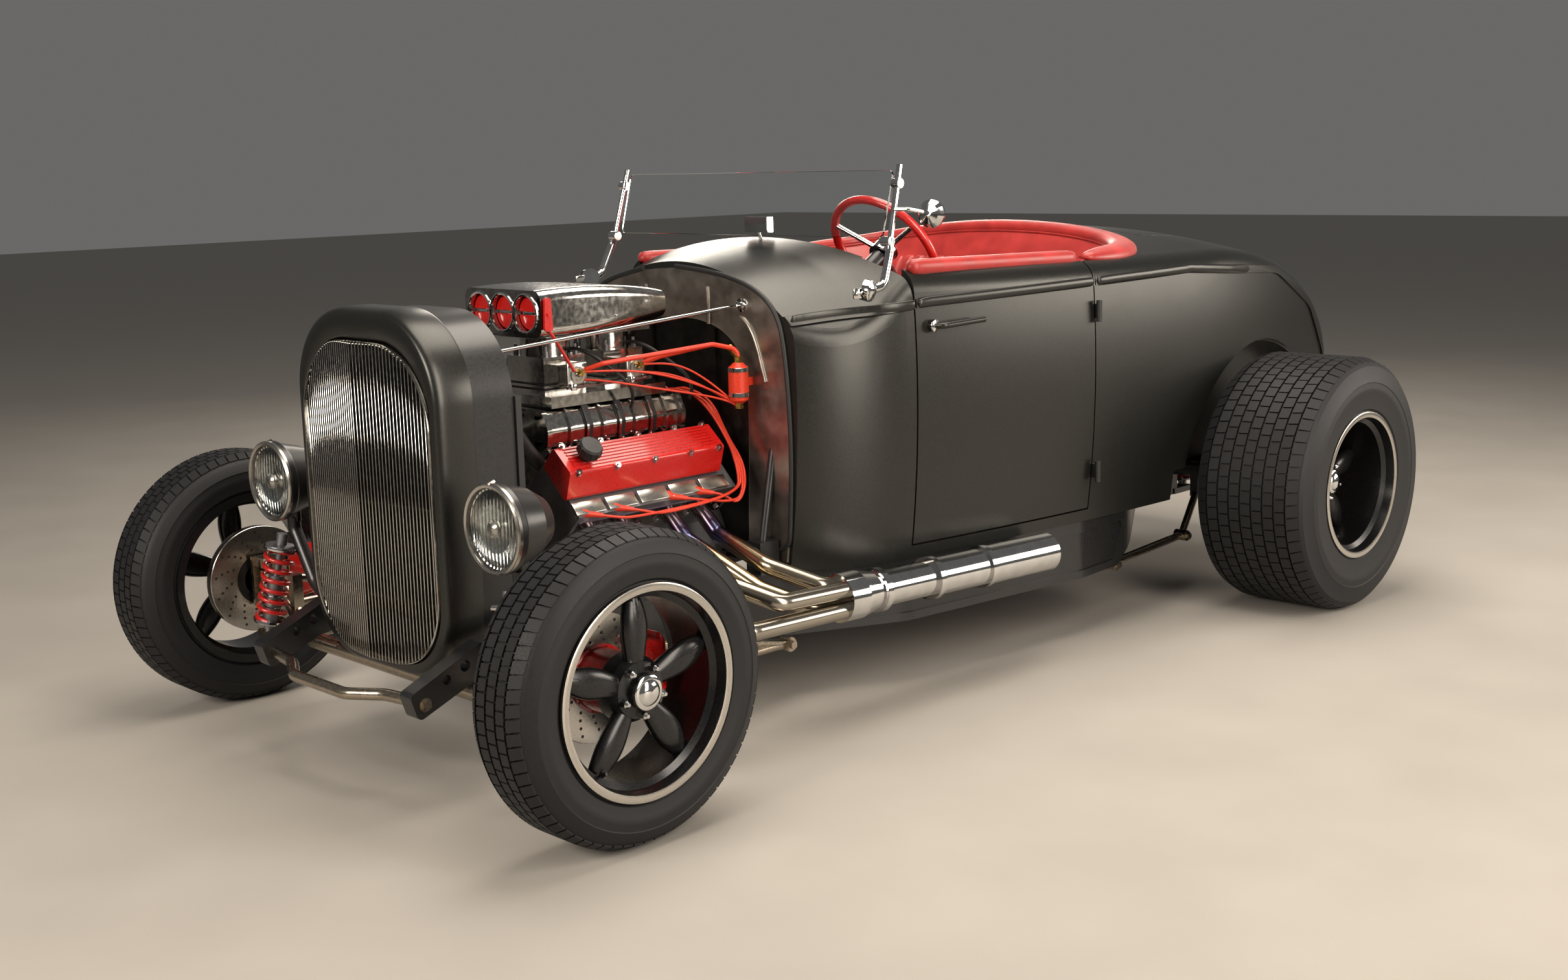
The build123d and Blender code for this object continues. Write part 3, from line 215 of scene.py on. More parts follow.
def gunmetalAlloy():
    # Wheel spokes and barrel: satin dark grey powder coat with a fine sparkle
    material, tree, shader, place = startMaterial("gunmetalAlloy", Metallic=0.7, Coat_Weight=0.3,
                                                  Coat_Roughness=0.2)
    mottle(tree, shader, place, ("#1d1d1e", "#2a2a2b"), (0.26, 0.34), 0.003, 0.00003)
    return material


def machinedAlloy():
    # Turned rim lip: pale alloy with lathe rings
    material, tree, shader, place = startMaterial("machinedAlloy", Metallic=1.0)
    mottle(tree, shader, place, ("#b3afa8", "#c6c2bb"), (0.2, 0.28), 0.001, 0.00002, 2.0)
    return material


def tyreRubber():
    # Carbon-black tread compound: nearly black, dry sheen, moulded pitting
    material, tree, shader, place = startMaterial("tyreRubber", IOR=1.5, Specular_IOR_Level=0.35)
    mottle(tree, shader, place, ("#0e0e10", "#17171a"), (0.52, 0.66), 0.0035, 0.0002)
    return material


def blackRubber():
    # Extruded rubber and belt cord: matt black
    material, tree, shader, place = startMaterial("blackRubber", IOR=1.5)
    mottle(tree, shader, place, ("#0c0c0d", "#141415"), (0.45, 0.6), 0.003, 0.0001)
    return material


def clearGlass():
    # Laminated screen: almost colourless
    material, tree, shader, place = startMaterial("clearGlass", Transmission_Weight=1.0, IOR=1.45,
                                                  Roughness=0.0)
    shader.inputs["Base Color"].default_value = linear("#f2f6f5")
    smear = addNode(tree, "ShaderNodeTexNoise", {"Scale": 9.0}, {"Vector": place}).outputs["Fac"]
    haze = addNode(tree, "ShaderNodeMapRange", {"To Min": 0.0, "To Max": 0.02},
                   {"Value": smear}).outputs["Result"]
    tree.links.new(haze, shader.inputs["Roughness"])
    return material


def blackCarpet():
    # Cut-pile carpet over the floor: loops about 3 mm across
    material, tree, shader, place = startMaterial("blackCarpet", Sheen_Weight=0.4, Sheen_Roughness=0.5)
    mottle(tree, shader, place, ("#0f0e0e", "#1f1c1b"), (0.9, 1.0), 0.003, 0.002, 2.0)
    return material


def darkTrim():
    # Painted dashboard: black wrinkle finish
    material, tree, shader, place = startMaterial("darkTrim", IOR=1.5)
    mottle(tree, shader, place, ("#141414", "#1e1e1e"), (0.4, 0.5), 0.0025, 0.0003)
    return material


def flutedReflector():
    # Silvered bowl seen through a fluted lens: upright prisms 6 mm apart
    material, tree, shader, place = startMaterial("flutedReflector", Metallic=1.0)
    mottle(tree, shader, place, ("#b9bab8", "#d4d5d3"), (0.10, 0.22), 0.01, 0)
    flutes = addNode(tree, "ShaderNodeTexWave", {"Scale": 26.0, "Distortion": 0.6}, {"Vector": place},
                     bands_direction="X")
    relief = addNode(tree, "ShaderNodeBump", {"Distance": 0.003, "Strength": 0.6},
                     {"Height": flutes.outputs["Fac"]})
    tree.links.new(relief.outputs["Normal"], shader.inputs["Normal"])
    return material


def brassFitting():
    # Turned brass: warm yellow, slightly dulled
    material, tree, shader, place = startMaterial("brassFitting", Metallic=1.0)
    mottle(tree, shader, place, ("#a07c3c", "#b8934c"), (0.2, 0.32), 0.004, 0.00003)
    return material


def redLens():
    # Moulded acrylic lamp lens
    material, tree, shader, place = startMaterial("redLens", Transmission_Weight=0.3, IOR=1.49,
                                                  Coat_Weight=0.5)
    mottle(tree, shader, place, ("#7d0705", "#9c0d08"), (0.12, 0.2), 0.006, 0.0004)
    return material


paints = {"satin": satinPaint(), "enamel": chassisEnamel(), "bare": bareSteel(), "bareInPaintedShade": paintedShadeSteel(),
          "chrome": chromePlate(), "nickel": nickelPlate(), "tinted": heatTintedSteel(),
          "brass": brassFitting(), "cast": castAluminium(), "polished": polishedAluminium(),
          "machined": machinedAlloy(), "gunmetal": gunmetalAlloy(), "red": redEnamel(), "lead": redRubber(),
          "leather": redLeather(), "carpet": blackCarpet(), "tyre": tyreRubber(), "rubber": blackRubber(),
          "dark": darkTrim(), "ceramic": glazedCeramic(), "glass": clearGlass(), "redLens": redLens(),
          "flutes": flutedReflector()}
print("finishes made")

# Finish of each node that keeps its own shape
nodeFinishes = {
    "satin": ("cowl", "rear_body", "decklid", "door_left", "door_right"),
    "enamel": ("headlamps", "frame_rails", "crossmembers", "rear_axle", "propshaft", "steering_column",
               "fuel_tank"),
    # The firewall panel takes the steel darkened by painted shade
    "bareInPaintedShade": ("firewall",),
    "chrome": ("windscreen_posts", "side_pipes", "gear_lever", "support_rods", "steering_wheel"),
    "nickel": ("front_axle", "radius_rods", "spreader_bars", "tie_rod", "knuckle_left", "knuckle_right"),
    "tinted": ("exhaust_headers",),
    "red": ("valve_covers", "scoop_butterflies"),
    "lead": ("fuel_lines",),
    "cast": ("engine_block", "gearbox", "dampers"),
    "polished": ("supercharger", "blower_drive", "carburettors", "air_scoop"),
    "gunmetal": ("wheel_front_left", "wheel_front_right", "wheel_rear_left", "wheel_rear_right"),
    "glass": ("windscreen_glass", "headlamp_lenses"),
    "carpet": ("floor_pan",),
    "dark": ("dashboard", "radiator"),
    "redLens": ("tail_lamps",),
}
for finish, nodes in nodeFinishes.items():
    for nodeName in nodes:
        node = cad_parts[nodeName]
        node.data.materials.clear()
        node.data.materials.append(paints[finish])
print("nodes finished")


# Mesh helpers

def makePiece(name, mesh, finish, body, sharpAngle=35):
    bmesh.ops.recalc_face_normals(mesh, faces=mesh.faces)
    data = bpy.data.meshes.new(name)
    mesh.to_mesh(data)
    mesh.free()
    data.materials.append(paints[finish])
    data.polygons.foreach_set("use_smooth", [True] * len(data.polygons))
    data.set_sharp_from_angle(angle=math.radians(sharpAngle))
    piece = bpy.data.objects.new(name, data)
    bpy.context.scene.collection.objects.link(piece)
    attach(piece, body)
    return piece


def vertsIn(geom):
    return [part for part in geom if isinstance(part, bmesh.types.BMVert)]


def edgesOf(verts):
    return list({edge for vert in verts for edge in vert.link_edges})


def roundEdges(mesh, verts, radius, segments=2):
    bmesh.ops.bevel(mesh, geom=edgesOf(verts), offset=radius, segments=segments, profile=0.5,
                    affect="EDGES", material=-1)


def addRod(mesh, start, end, radius, segments=16, endRadius=None):
    start, end = Vector(start), Vector(end)
    turn = (end - start).to_track_quat("Z", "Y").to_matrix().to_4x4()
    bmesh.ops.create_cone(mesh, cap_ends=True, segments=segments, radius1=radius,
                          radius2=radius if endRadius is None else endRadius, depth=(end - start).length,
                          matrix=Matrix.Translation((start + end) / 2) @ turn)


def addBlock(mesh, low, high, edge=0.0, rounds=2):
    low, high = Vector(low), Vector(high)
    place = Matrix.Translation((low + high) / 2) @ Matrix.Diagonal((*(high - low), 1))
    corners = bmesh.ops.create_cube(mesh, size=1, matrix=place)["verts"]
    if edge:
        roundEdges(mesh, corners, edge, rounds)


def addTurned(mesh, profile, centre, axis, steps=48):
    # The profile's points are (along the axis, radius); a closed one repeats its first point
    centre, axis = Vector(centre), Vector(axis).normalized()
    side = axis.orthogonal().normalized()
    closed = profile[0] == profile[-1]
    points = profile[:-1] if closed else profile
    row = [mesh.verts.new(centre + axis * along + side * radius) for along, radius in points]
    edges = [mesh.edges.new(pair) for pair in zip(row, row[1:] + (row[:1] if closed else []))
             if pair[0] is not pair[1]]
    bmesh.ops.spin(mesh, geom=row + edges, cent=centre, axis=axis, angle=math.tau, steps=steps,
                   use_merge=True)


def bothSides(mesh):
    # Adds the mirror image across the car's middle
    copied = bmesh.ops.duplicate(mesh, geom=mesh.verts[:] + mesh.edges[:] + mesh.faces[:])["geom"]
    bmesh.ops.scale(mesh, vec=(-1, 1, 1), verts=vertsIn(copied))
    bmesh.ops.reverse_faces(mesh, faces=[part for part in copied if isinstance(part, bmesh.types.BMFace)])


def addHose(name, points, radius, finish, order=4):
    # A hose, lead or bead held at both ends: a smooth curve through the space between them
    data = bpy.data.curves.new(name, "CURVE")
    data.dimensions = "3D"
    data.bevel_depth = radius
    data.bevel_resolution = 3
    data.resolution_u = 8
    data.use_fill_caps = True
    spline = data.splines.new("NURBS")
    spline.points.add(len(points) - 1)
    for point, place in zip(spline.points, points):
        point.co = (*place, 1)
    spline.order_u = order
    spline.use_endpoint_u = True
    data.materials.append(paints[finish])
    hose = bpy.data.objects.new(name, data)
    bpy.context.scene.collection.objects.link(hose)
    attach(hose, "body")


def roundAxle(turn):
    # Unit vector at this angle round an axle
    return Vector((0, math.cos(turn), math.sin(turn)))


# Tyres: moulded carcass with ribbed walls and separate tread blocks

def buildTyre(name, side, sizes):
    centre = Vector((side * sizes["centreX"], sizes["axleY"], sizes["radius"]))
    out = Vector((side, 0, 0))
    half, radius, flange, groove = sizes["halfWidth"], sizes["radius"], sizes["flange"], sizes["groove"]
    middle = (flange + radius) / 2
    wall = [(half - 0.011, flange - 0.012), (half - 0.013, flange + 0.004), (half - 0.006, flange + 0.010),
            (half - 0.002, middle - 0.022), (half + 0.0005, middle - 0.014), (half - 0.0005, middle - 0.008),
            (half - 0.002, middle + 0.006), (half - 0.0005, middle + 0.008), (half - 0.0025, middle + 0.012),
            (half - 0.010, radius - 0.026), (half - 0.018, radius - 0.014 - groove * 0.4),
            (half - 0.032, radius - 0.005 - groove), (half - 0.060, radius - groove)]
    profile = [(-along, reach) for along, reach in wall] + wall[::-1]
    mesh = bmesh.new()
    addTurned(mesh, profile + profile[:1], centre, out, 96)
    rows, count = sizes["rows"], sizes["blocks"]
    length = math.tau * radius / count * sizes["fill"]
    for index, (left, right) in enumerate(rows):
        outermost = index in (0, len(rows) - 1)
        block = bmesh.ops.create_cube(mesh, size=1)["verts"]
        for vert in block:
            along = left if vert.co.x < 0 else right
            foot = 0 if vert.co.z > 0 else groove + 0.004
            drop = sizes["shoulderDrop"] if outermost and abs(along) > half - sizes["shoulder"] else 0
            slant = sizes["slant"] * (along / half) * abs(along / half)
            turn = (vert.co.y * length + slant) / radius
            reach = radius - drop - foot
            vert.co = centre + out * along + Vector((0, math.sin(turn), math.cos(turn))) * reach
        if index % 2:  # every second row stands half a block further round
            bmesh.ops.rotate(mesh, verts=block, cent=centre, matrix=Matrix.Rotation(math.pi / count, 3, "X"))
        faces = list({face for vert in block for face in vert.link_faces})
        bmesh.ops.spin(mesh, geom=block + edgesOf(block) + faces, cent=centre, axis=(1, 0, 0),
                       angle=math.tau, steps=count, use_duplicate=True)
        bmesh.ops.delete(mesh, geom=block, context="VERTS")
    piece = makePiece(name + "Tread", mesh, "tyre", name.replace("tyre", "wheel"), 30)
    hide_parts(name)


def tyreRows(halfWidth, count, gap):
    span = 2 * halfWidth / count
    return [(-halfWidth + span * i + gap / 2, -halfWidth + span * (i + 1) - gap / 2) for i in range(count)]


frontTyre = {"centreX": 0.792, "axleY": car["frontAxleY"], "radius": 0.334, "flange": 0.227,
             "halfWidth": 0.093, "groove": 0.006, "blocks": 72, "fill": 0.86, "slant": 0.012,
             "shoulder": 0.04, "shoulderDrop": 0.013, "rows": tyreRows(0.078, 5, 0.006)}
rearTyre = {"centreX": 0.887, "axleY": car["rearAxleY"], "radius": 0.385, "flange": 0.221, "halfWidth": 0.183,
            "groove": 0.007, "blocks": 64, "fill": 0.88, "slant": 0.016, "shoulder": 0.04,
            "shoulderDrop": 0.013, "rows": tyreRows(0.166, 9, 0.006)}
for sideName, side in carSides:
    buildTyre("tyre_front_" + sideName, side, frontTyre)
    buildTyre("tyre_rear_" + sideName, side, rearTyre)
print("tyres made")


# Wheel dressing: turned lip, cap, nuts, valve, brake disc

def dressWheel(name, side, sizes):
    nut = {"circle": 0.052, "radius": 0.0095, "neck": 0.0085, "nose": 0.004}
    valve = {"turn": 0.63, "inset": 0.034, "radius": 0.004}
    brake = {"half": 0.0116, "ventHalf": 0.004, "bell": 0.066, "holes": 4, "firstHole": 0.082,
             "holePitch": 0.0148, "holeSweep": 0.09, "holeRadius": 0.0036, "bobbins": 10,
             "bobbinCircle": 0.0705, "bobbinRadius": 0.0026}
    centre = Vector((side * sizes["centreX"], sizes["axleY"], sizes["hubZ"]))
    out = Vector((side, 0, 0))
    face, flange, hub = sizes["rimHalf"], sizes["flange"], sizes["hubFace"]
    lip = bmesh.new()
    addTurned(lip, [(face - 0.016, flange - 0.0165), (face + 0.001, flange - 0.0155),
                    (face + 0.0038, flange - 0.006), (face + 0.0015, flange + 0.0012),
                    (face - 0.005, flange + 0.0012), (face - 0.006, flange - 0.004),
                    (face - 0.016, flange - 0.0165)], centre, out, 96)
    makePiece(name + "Lip", lip, "machined", name)
    cap = bmesh.new()
    addTurned(cap, [(hub + 0.006, 0.0), (hub + 0.006, 0.037), (hub + 0.014, 0.037), (hub + 0.016, 0.034),
                    (hub + 0.0165, 0.028), (hub + 0.019, 0.026), (hub + 0.024, 0.016), (hub + 0.0255, 0.0)],
              centre, out, 40)
    for index in range(5):
        seat = centre + roundAxle(math.radians(126 + 72 * index)) * nut["circle"]
        addRod(cap, seat + out * (hub - 0.014), seat + out * (hub + 0.004), nut["radius"], 6, nut["neck"])
        addRod(cap, seat + out * (hub + 0.004), seat + out * (hub + 0.010), nut["neck"], 12, nut["nose"])
    makePiece(name + "CapAndNuts", cap, "chrome", name)
    stem = bmesh.new()
    away = Vector((0, -math.sin(valve["turn"]), -math.cos(valve["turn"])))
    foot = centre + away * (flange - valve["inset"])
    addRod(stem, foot + out * (face - 0.045), foot + out * (face - 0.020) - away * 0.010, valve["radius"], 10)
    makePiece(name + "Valve", stem, "rubber", name)
    disc = bmesh.new()
    level, half, vent = sizes["discX"] - sizes["centreX"], brake["half"], brake["ventHalf"]
    edge = sizes["discRadius"] + 0.0006
    addTurned(disc, [(level + half, brake["bell"]), (level + half, edge - 0.001),
                     (level + half - 0.001, edge), (level + vent, edge), (level + vent, edge - 0.006),
                     (level - vent, edge - 0.006), (level - vent, edge), (level - half + 0.001, edge),
                     (level - half, edge - 0.001), (level - half, brake["bell"])], centre, out, 64)
    makePiece(name + "Disc", disc, "machined", name)
    # Black plugs at the drilled holes: painted shade standing in for the open holes through the disc
    holes = bmesh.new()
    for row in range(sizes["holeRows"]):
        for step in range(brake["holes"]):
            turn = math.tau * row / sizes["holeRows"] + step * brake["holeSweep"]
            spot = centre + roundAxle(turn) * (brake["firstHole"] + step * brake["holePitch"])
            addRod(holes, spot + out * (level - half - 0.0003), spot + out * (level + half + 0.0003),
                   brake["holeRadius"], 10)
    makePiece(name + "DiscHoleShade", holes, "rubber", name)
    hat = bmesh.new()
    addTurned(hat, [(level + half - 0.002, 0.0625), (level + half + 0.0014, 0.074),
                    (level + half + 0.0034, 0.074), (level + half + 0.005, 0.068), (hub - 0.064, 0.066),
                    (hub - 0.062, 0.0628), (level + half - 0.002, 0.0625)], centre, out, 48)
    for index in range(brake["bobbins"]):
        spot = centre + roundAxle(math.tau * index / brake["bobbins"]) * brake["bobbinCircle"]
        addRod(hat, spot + out * (level + half + 0.003), spot + out * (level + half + 0.0065),
               brake["bobbinRadius"], 8)
    makePiece(name + "DiscHat", hat, "red", name)


frontWheel = {"centreX": 0.792, "axleY": car["frontAxleY"], "hubZ": car["frontHubZ"], "flange": 0.227,
              "rimHalf": 0.090, "hubFace": 0.070, "discX": 0.704, "discRadius": 0.140, "holeRows": 14}
rearWheel = {"centreX": 0.887, "axleY": car["rearAxleY"], "hubZ": car["rearHubZ"], "flange": 0.221,
             "rimHalf": 0.175, "hubFace": 0.070, "discX": 0.742, "discRadius": 0.150, "holeRows": 14}
for sideName, side in carSides:
    dressWheel("wheel_front_" + sideName, side, frontWheel)
    dressWheel("wheel_rear_" + sideName, side, rearWheel)
print("wheels dressed")


# Coil springs round the dampers, whose lower and upper eyes on the left side are these

damperEyes = (((0.510, aft(-0.084), 0.246), (0.478, aft(-0.046), 0.478)),
              ((0.384, aft(2.776), 0.300), (0.360, aft(2.776), 0.526)))


def buildSprings():
    spring = {"coilRadius": 0.034, "wire": 0.0058, "turns": 7, "stepsATurn": 20, "inset": 0.026}
    mesh = bmesh.new()
    upright = Matrix.Translation((spring["coilRadius"], 0, 0)) @ Matrix.Rotation(math.pi / 2, 4, "X")
    steps = spring["stepsATurn"] * spring["turns"]
    for foot, top in damperEyes:
        foot, top = Vector(foot), Vector(top)
        line = (top - foot).normalized()
        length = (top - foot).length - 2 * spring["inset"]
        before = set(mesh.verts)
        ring = bmesh.ops.create_circle(mesh, cap_ends=False, segments=10, radius=spring["wire"],
                                       matrix=upright)["verts"]
        bmesh.ops.spin(mesh, geom=ring + edgesOf(ring), cent=(0, 0, 0), axis=(0, 0, 1),
                       dvec=(0, 0, length / steps), angle=math.tau * spring["turns"], steps=steps)
        coil = [vert for vert in mesh.verts if vert not in before]
        turn = line.to_track_quat("Z", "Y").to_matrix().to_4x4()
        bmesh.ops.transform(mesh, matrix=Matrix.Translation(foot + line * spring["inset"]) @ turn, verts=coil)
    bothSides(mesh)
    piece = makePiece("coilSprings", mesh, "red", "body", 60)
    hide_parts("coil_springs")


buildSprings()
print("springs wound")


# Headlamps: dished reflector behind the lens, bulb shield and bezel

def dressLamps():
    lamp = {"centre": (0.467, aft(-0.062), 0.631), "glassRadius": 0.0895,
            "screw": ((0.467, aft(-0.076), 0.727), (0.467, aft(-0.060), 0.734)), "screwRadius": 0.0045}
    out = Vector((0, -1, 0))
    bowl = bmesh.new()
    addTurned(bowl, [(0.004, lamp["glassRadius"]), (-0.001, 0.080), (-0.0042, 0.050), (-0.0055, 0.018),
                     (-0.0056, 0.0)], lamp["centre"], out, 64)
    bothSides(bowl)
    makePiece("lampReflectors", bowl, "flutes", "body")
    bezel = bmesh.new()
    addTurned(bezel, [(-0.005, 0.0), (-0.005, 0.020), (0.003, 0.019), (0.009, 0.010), (0.0105, 0.0)],
              lamp["centre"], out, 24)
    addTurned(bezel, [(0.0035, 0.0885), (0.0035, 0.1015), (0.0105, 0.1015), (0.0155, 0.0965),
                      (0.0135, 0.0905), (0.0085, 0.0885), (0.0035, 0.0885)], lamp["centre"], out, 64)
    addRod(bezel, *lamp["screw"], lamp["screwRadius"], 8)
    bothSides(bezel)
    makePiece("lampBezels", bezel, "machined", "body")


dressLamps()
print("lamps dressed")


# Front frame fasteners

def dressFrame():
    bolt = {"head": 0.0115, "washer": 0.016, "washerThick": 0.003, "reach": 0.011,
            "places": ((0.3405, -0.185, 0.242), (0.418, 0.876, 0.163), (0.576, 2.500, 0.196),
                       (0.582, 2.104, 0.176))}
    mesh = bmesh.new()
    for x, y, z in bolt["places"]:
        seat = (x + bolt["washerThick"], aft(y), z)
        addRod(mesh, (x, aft(y), z), seat, bolt["washer"], 24)
        addRod(mesh, seat, (x + bolt["reach"], aft(y), z), bolt["head"], 6)
    bothSides(mesh)
    makePiece("frameBolts", mesh, "nickel", "body")


dressFrame()
print("frame dressed")


# Engine: cover screws, breathers, header bolts, belt teeth, blower straps, carburettor plates and scoop rims

def dressCovers():
    cover = {"out": (0.656, 0, 0.755), "screwRows": ((0.2615, 0.672), (0.1985, 0.7265)),
             "screwsAft": (0.33, 0.45, 0.57, 0.69, 0.785), "breather": (0.236, aft(0.372), 0.703), "ribs": 12,
             "flangeX": 0.2245, "flangeZ": 0.5245, "boltsAft": (0.344, 0.430, 0.532, 0.592, 0.694, 0.798)}
    out = Vector(cover["out"])
    screws = bmesh.new()
    for y in cover["screwsAft"]:
        for x, z in cover["screwRows"]:
            spot = Vector((x, aft(y), z))
            addRod(screws, spot - out * 0.002, spot + out * 0.0075, 0.0075, 12)
            addRod(screws, spot + out * 0.0075, spot + out * 0.013, 0.0045, 6)
    bothSides(screws)
    makePiece("coverScrews", screws, "chrome", "body")
    cap = bmesh.new()
    seat = Vector(cover["breather"])
    addTurned(cap, [(0.0, 0.0), (0.0, 0.016), (0.014, 0.016), (0.016, 0.027), (0.020, 0.030), (0.040, 0.030),
                    (0.045, 0.026), (0.046, 0.0)], seat, out, 28)
    for index in range(cover["ribs"]):
        turn = Matrix.Rotation(math.tau * index / cover["ribs"], 3, out)
        rib = turn @ out.orthogonal().normalized() * 0.0298
        addRod(cap, seat + rib + out * 0.021, seat + rib + out * 0.039, 0.0022, 6)
    bothSides(cap)
    makePiece("coverBreathers", cap, "rubber", "body")
    bolts = bmesh.new()
    outward = Vector((0.707, 0, -0.707))
    for y in cover["boltsAft"]:
        spot = Vector((cover["flangeX"], aft(y), cover["flangeZ"]))
        addRod(bolts, spot + outward * 0.006, spot + outward * 0.018, 0.0075, 6)
    bothSides(bolts)
    makePiece("headerBolts", bolts, "chrome", "body")


def dressBlower():
    belt = {"front": aft(0.186), "back": aft(0.252), "outside": 0.0068, "cogs": 34, "cogHalf": 0.0022,
            "cogHeight": 0.003}
    pulleys = ((0.760, 0.074, 5), (0.420, 0.084, 6))  # height, radius and bolts: blower, then crankshaft
    blower = {"strapsAft": (0.462, 0.566, 0.670), "strapWidth": 0.020, "strapThick": 0.003,
              "strapLine": ((-0.128, 0.712), (-0.139, 0.760), (-0.117, 0.8085), (0.117, 0.8085),
                            (0.139, 0.760), (0.128, 0.712)),
              "sideStuds": 8, "studPitch": 0.046, "frontStudX": (-0.105, -0.035, 0.035, 0.105),
              "frontStudZ": (0.728, 0.792)}
    (topZ, topReach, _), (lowZ, lowReach, _) = pulleys
    cogs = bmesh.new()
    for index in range(belt["cogs"]):
        share = index / (belt["cogs"] - 1)
        z = lowZ + (topZ - lowZ) * share
        for side in (1, -1):
            x = side * (lowReach + (topReach - lowReach) * share + belt["outside"])
            addBlock(cogs, (x - belt["cogHalf"], belt["front"] + 0.001, z - belt["cogHeight"]),
                     (x + belt["cogHalf"], belt["back"] - 0.001, z + belt["cogHeight"]))
    makePiece("beltCogs", cogs, "rubber", "body")
    faces = bmesh.new()
    for z, reach, bolts in pulleys:
        middle = Vector((0, belt["front"], z))
        addTurned(faces, [(0.004, reach - 0.006), (0.006, reach - 0.010), (0.004, 0.034), (0.010, 0.032),
                          (0.012, 0.020), (0.014, 0.0)], middle, (0, -1, 0), 40)
        for index in range(bolts):
            turn = math.tau * index / bolts
            spot = middle + Vector((math.cos(turn), 0, math.sin(turn))) * (reach * 0.66)
            addRod(faces, spot - Vector((0, 0.010, 0)), spot, 0.007, 6)
    makePiece("pulleyFaces", faces, "polished", "body")
    straps = bmesh.new()
    for y in blower["strapsAft"]:
        row = [straps.verts.new((x, aft(y), z)) for x, z in blower["strapLine"]]
        strip = [straps.edges.new(pair) for pair in zip(row, row[1:])]
        pushed = bmesh.ops.extrude_edge_only(straps, edges=strip)["geom"]
        bmesh.ops.translate(straps, vec=(0, blower["strapWidth"], 0), verts=vertsIn(pushed))
    bmesh.ops.recalc_face_normals(straps, faces=straps.faces)
    bmesh.ops.solidify(straps, geom=straps.faces[:], thickness=blower["strapThick"])
    makePiece("blowerStraps", straps, "rubber", "body")
    studs = bmesh.new()
    for index in range(blower["sideStuds"]):
        spot = Vector((0.128, aft(0.392 + blower["studPitch"] * index), 0.708))
        addRod(studs, spot, spot + Vector((0.004, 0, 0.012)), 0.006, 6)
    for x in blower["frontStudX"]:
        for z in blower["frontStudZ"]:
            addRod(studs, (x, aft(0.338), z), (x, aft(0.331), z), 0.006, 6)
    bothSides(studs)
    makePiece("blowerStuds", studs, "chrome", "body")


def dressCarburettors():
    carb = {"placesAft": (0.450, 0.640), "plateHalf": 0.032, "plateX": 0.117, "faceX": 0.124, "level": 0.886,
            "screwSpread": 0.023, "boltSpread": 0.046, "flangeZ": (0.850, 0.862),
            "flangeHalf": (0.080, 0.069)}
    rod = {"x": 0.132, "z": 0.858, "fromAft": 0.41, "toAft": 0.68, "leversAft": (0.430, 0.620)}
    plates, screws, fittings = bmesh.new(), bmesh.new(), bmesh.new()
    wide, long = carb["flangeHalf"]
    for place in carb["placesAft"]:
        y = aft(place)
        addBlock(plates, (carb["plateX"], y - carb["plateHalf"], carb["level"] - carb["plateHalf"]),
                 (carb["faceX"], y + carb["plateHalf"], carb["level"] + carb["plateHalf"]), 0.004, 3)
        centre = Vector((carb["faceX"], y, carb["level"]))
        addTurned(plates, [(0, 0.021), (0.004, 0.021), (0.004, 0.014), (0.002, 0.012), (0.002, 0.0)], centre,
                  (1, 0, 0), 28)
        for dy in (-carb["screwSpread"], carb["screwSpread"]):
            for dz in (-carb["screwSpread"], carb["screwSpread"]):
                spot = centre + Vector((0, dy, dz))
                addRod(screws, spot, spot + Vector((0.0035, 0, 0)), 0.005, 12)
        addRod(screws, centre, centre + Vector((0.005, 0, 0)), 0.006, 6)
        for dy in (-carb["boltSpread"], carb["boltSpread"]):
            addRod(fittings, (0.060, y + dy, 0.930), (0.060, y + dy, 0.944), 0.007, 6)
            addRod(fittings, (0.060, y + dy, 0.944), (0.060, y + dy, 0.956), 0.0045, 10)
        for z in carb["flangeZ"]:
            addBlock(fittings, (-wide, y - long, z), (wide, y + long, z + 0.004), 0.0015, 1)
    for mesh in (plates, screws, fittings):
        bothSides(mesh)
    makePiece("carbPlates", plates, "machined", "body")
    makePiece("carbScrews", screws, "chrome", "body")
    makePiece("carbFittings", fittings, "cast", "body")
    linkage = bmesh.new()
    addRod(linkage, (rod["x"], aft(rod["fromAft"]), rod["z"]), (rod["x"], aft(rod["toAft"]), rod["z"]),
           0.004, 10)
    for place in rod["leversAft"]:
        y = aft(place)
        addRod(linkage, (0.118, y, 0.874), (rod["x"], y, rod["z"]), 0.004, 8)
        addBlock(linkage, (rod["x"] - 0.004, y - 0.008, rod["z"] - 0.008),
                 (rod["x"] + 0.004, y + 0.008, rod["z"] + 0.008), 0.002, 2)
    makePiece("throttleRod", linkage, "chrome", "body")


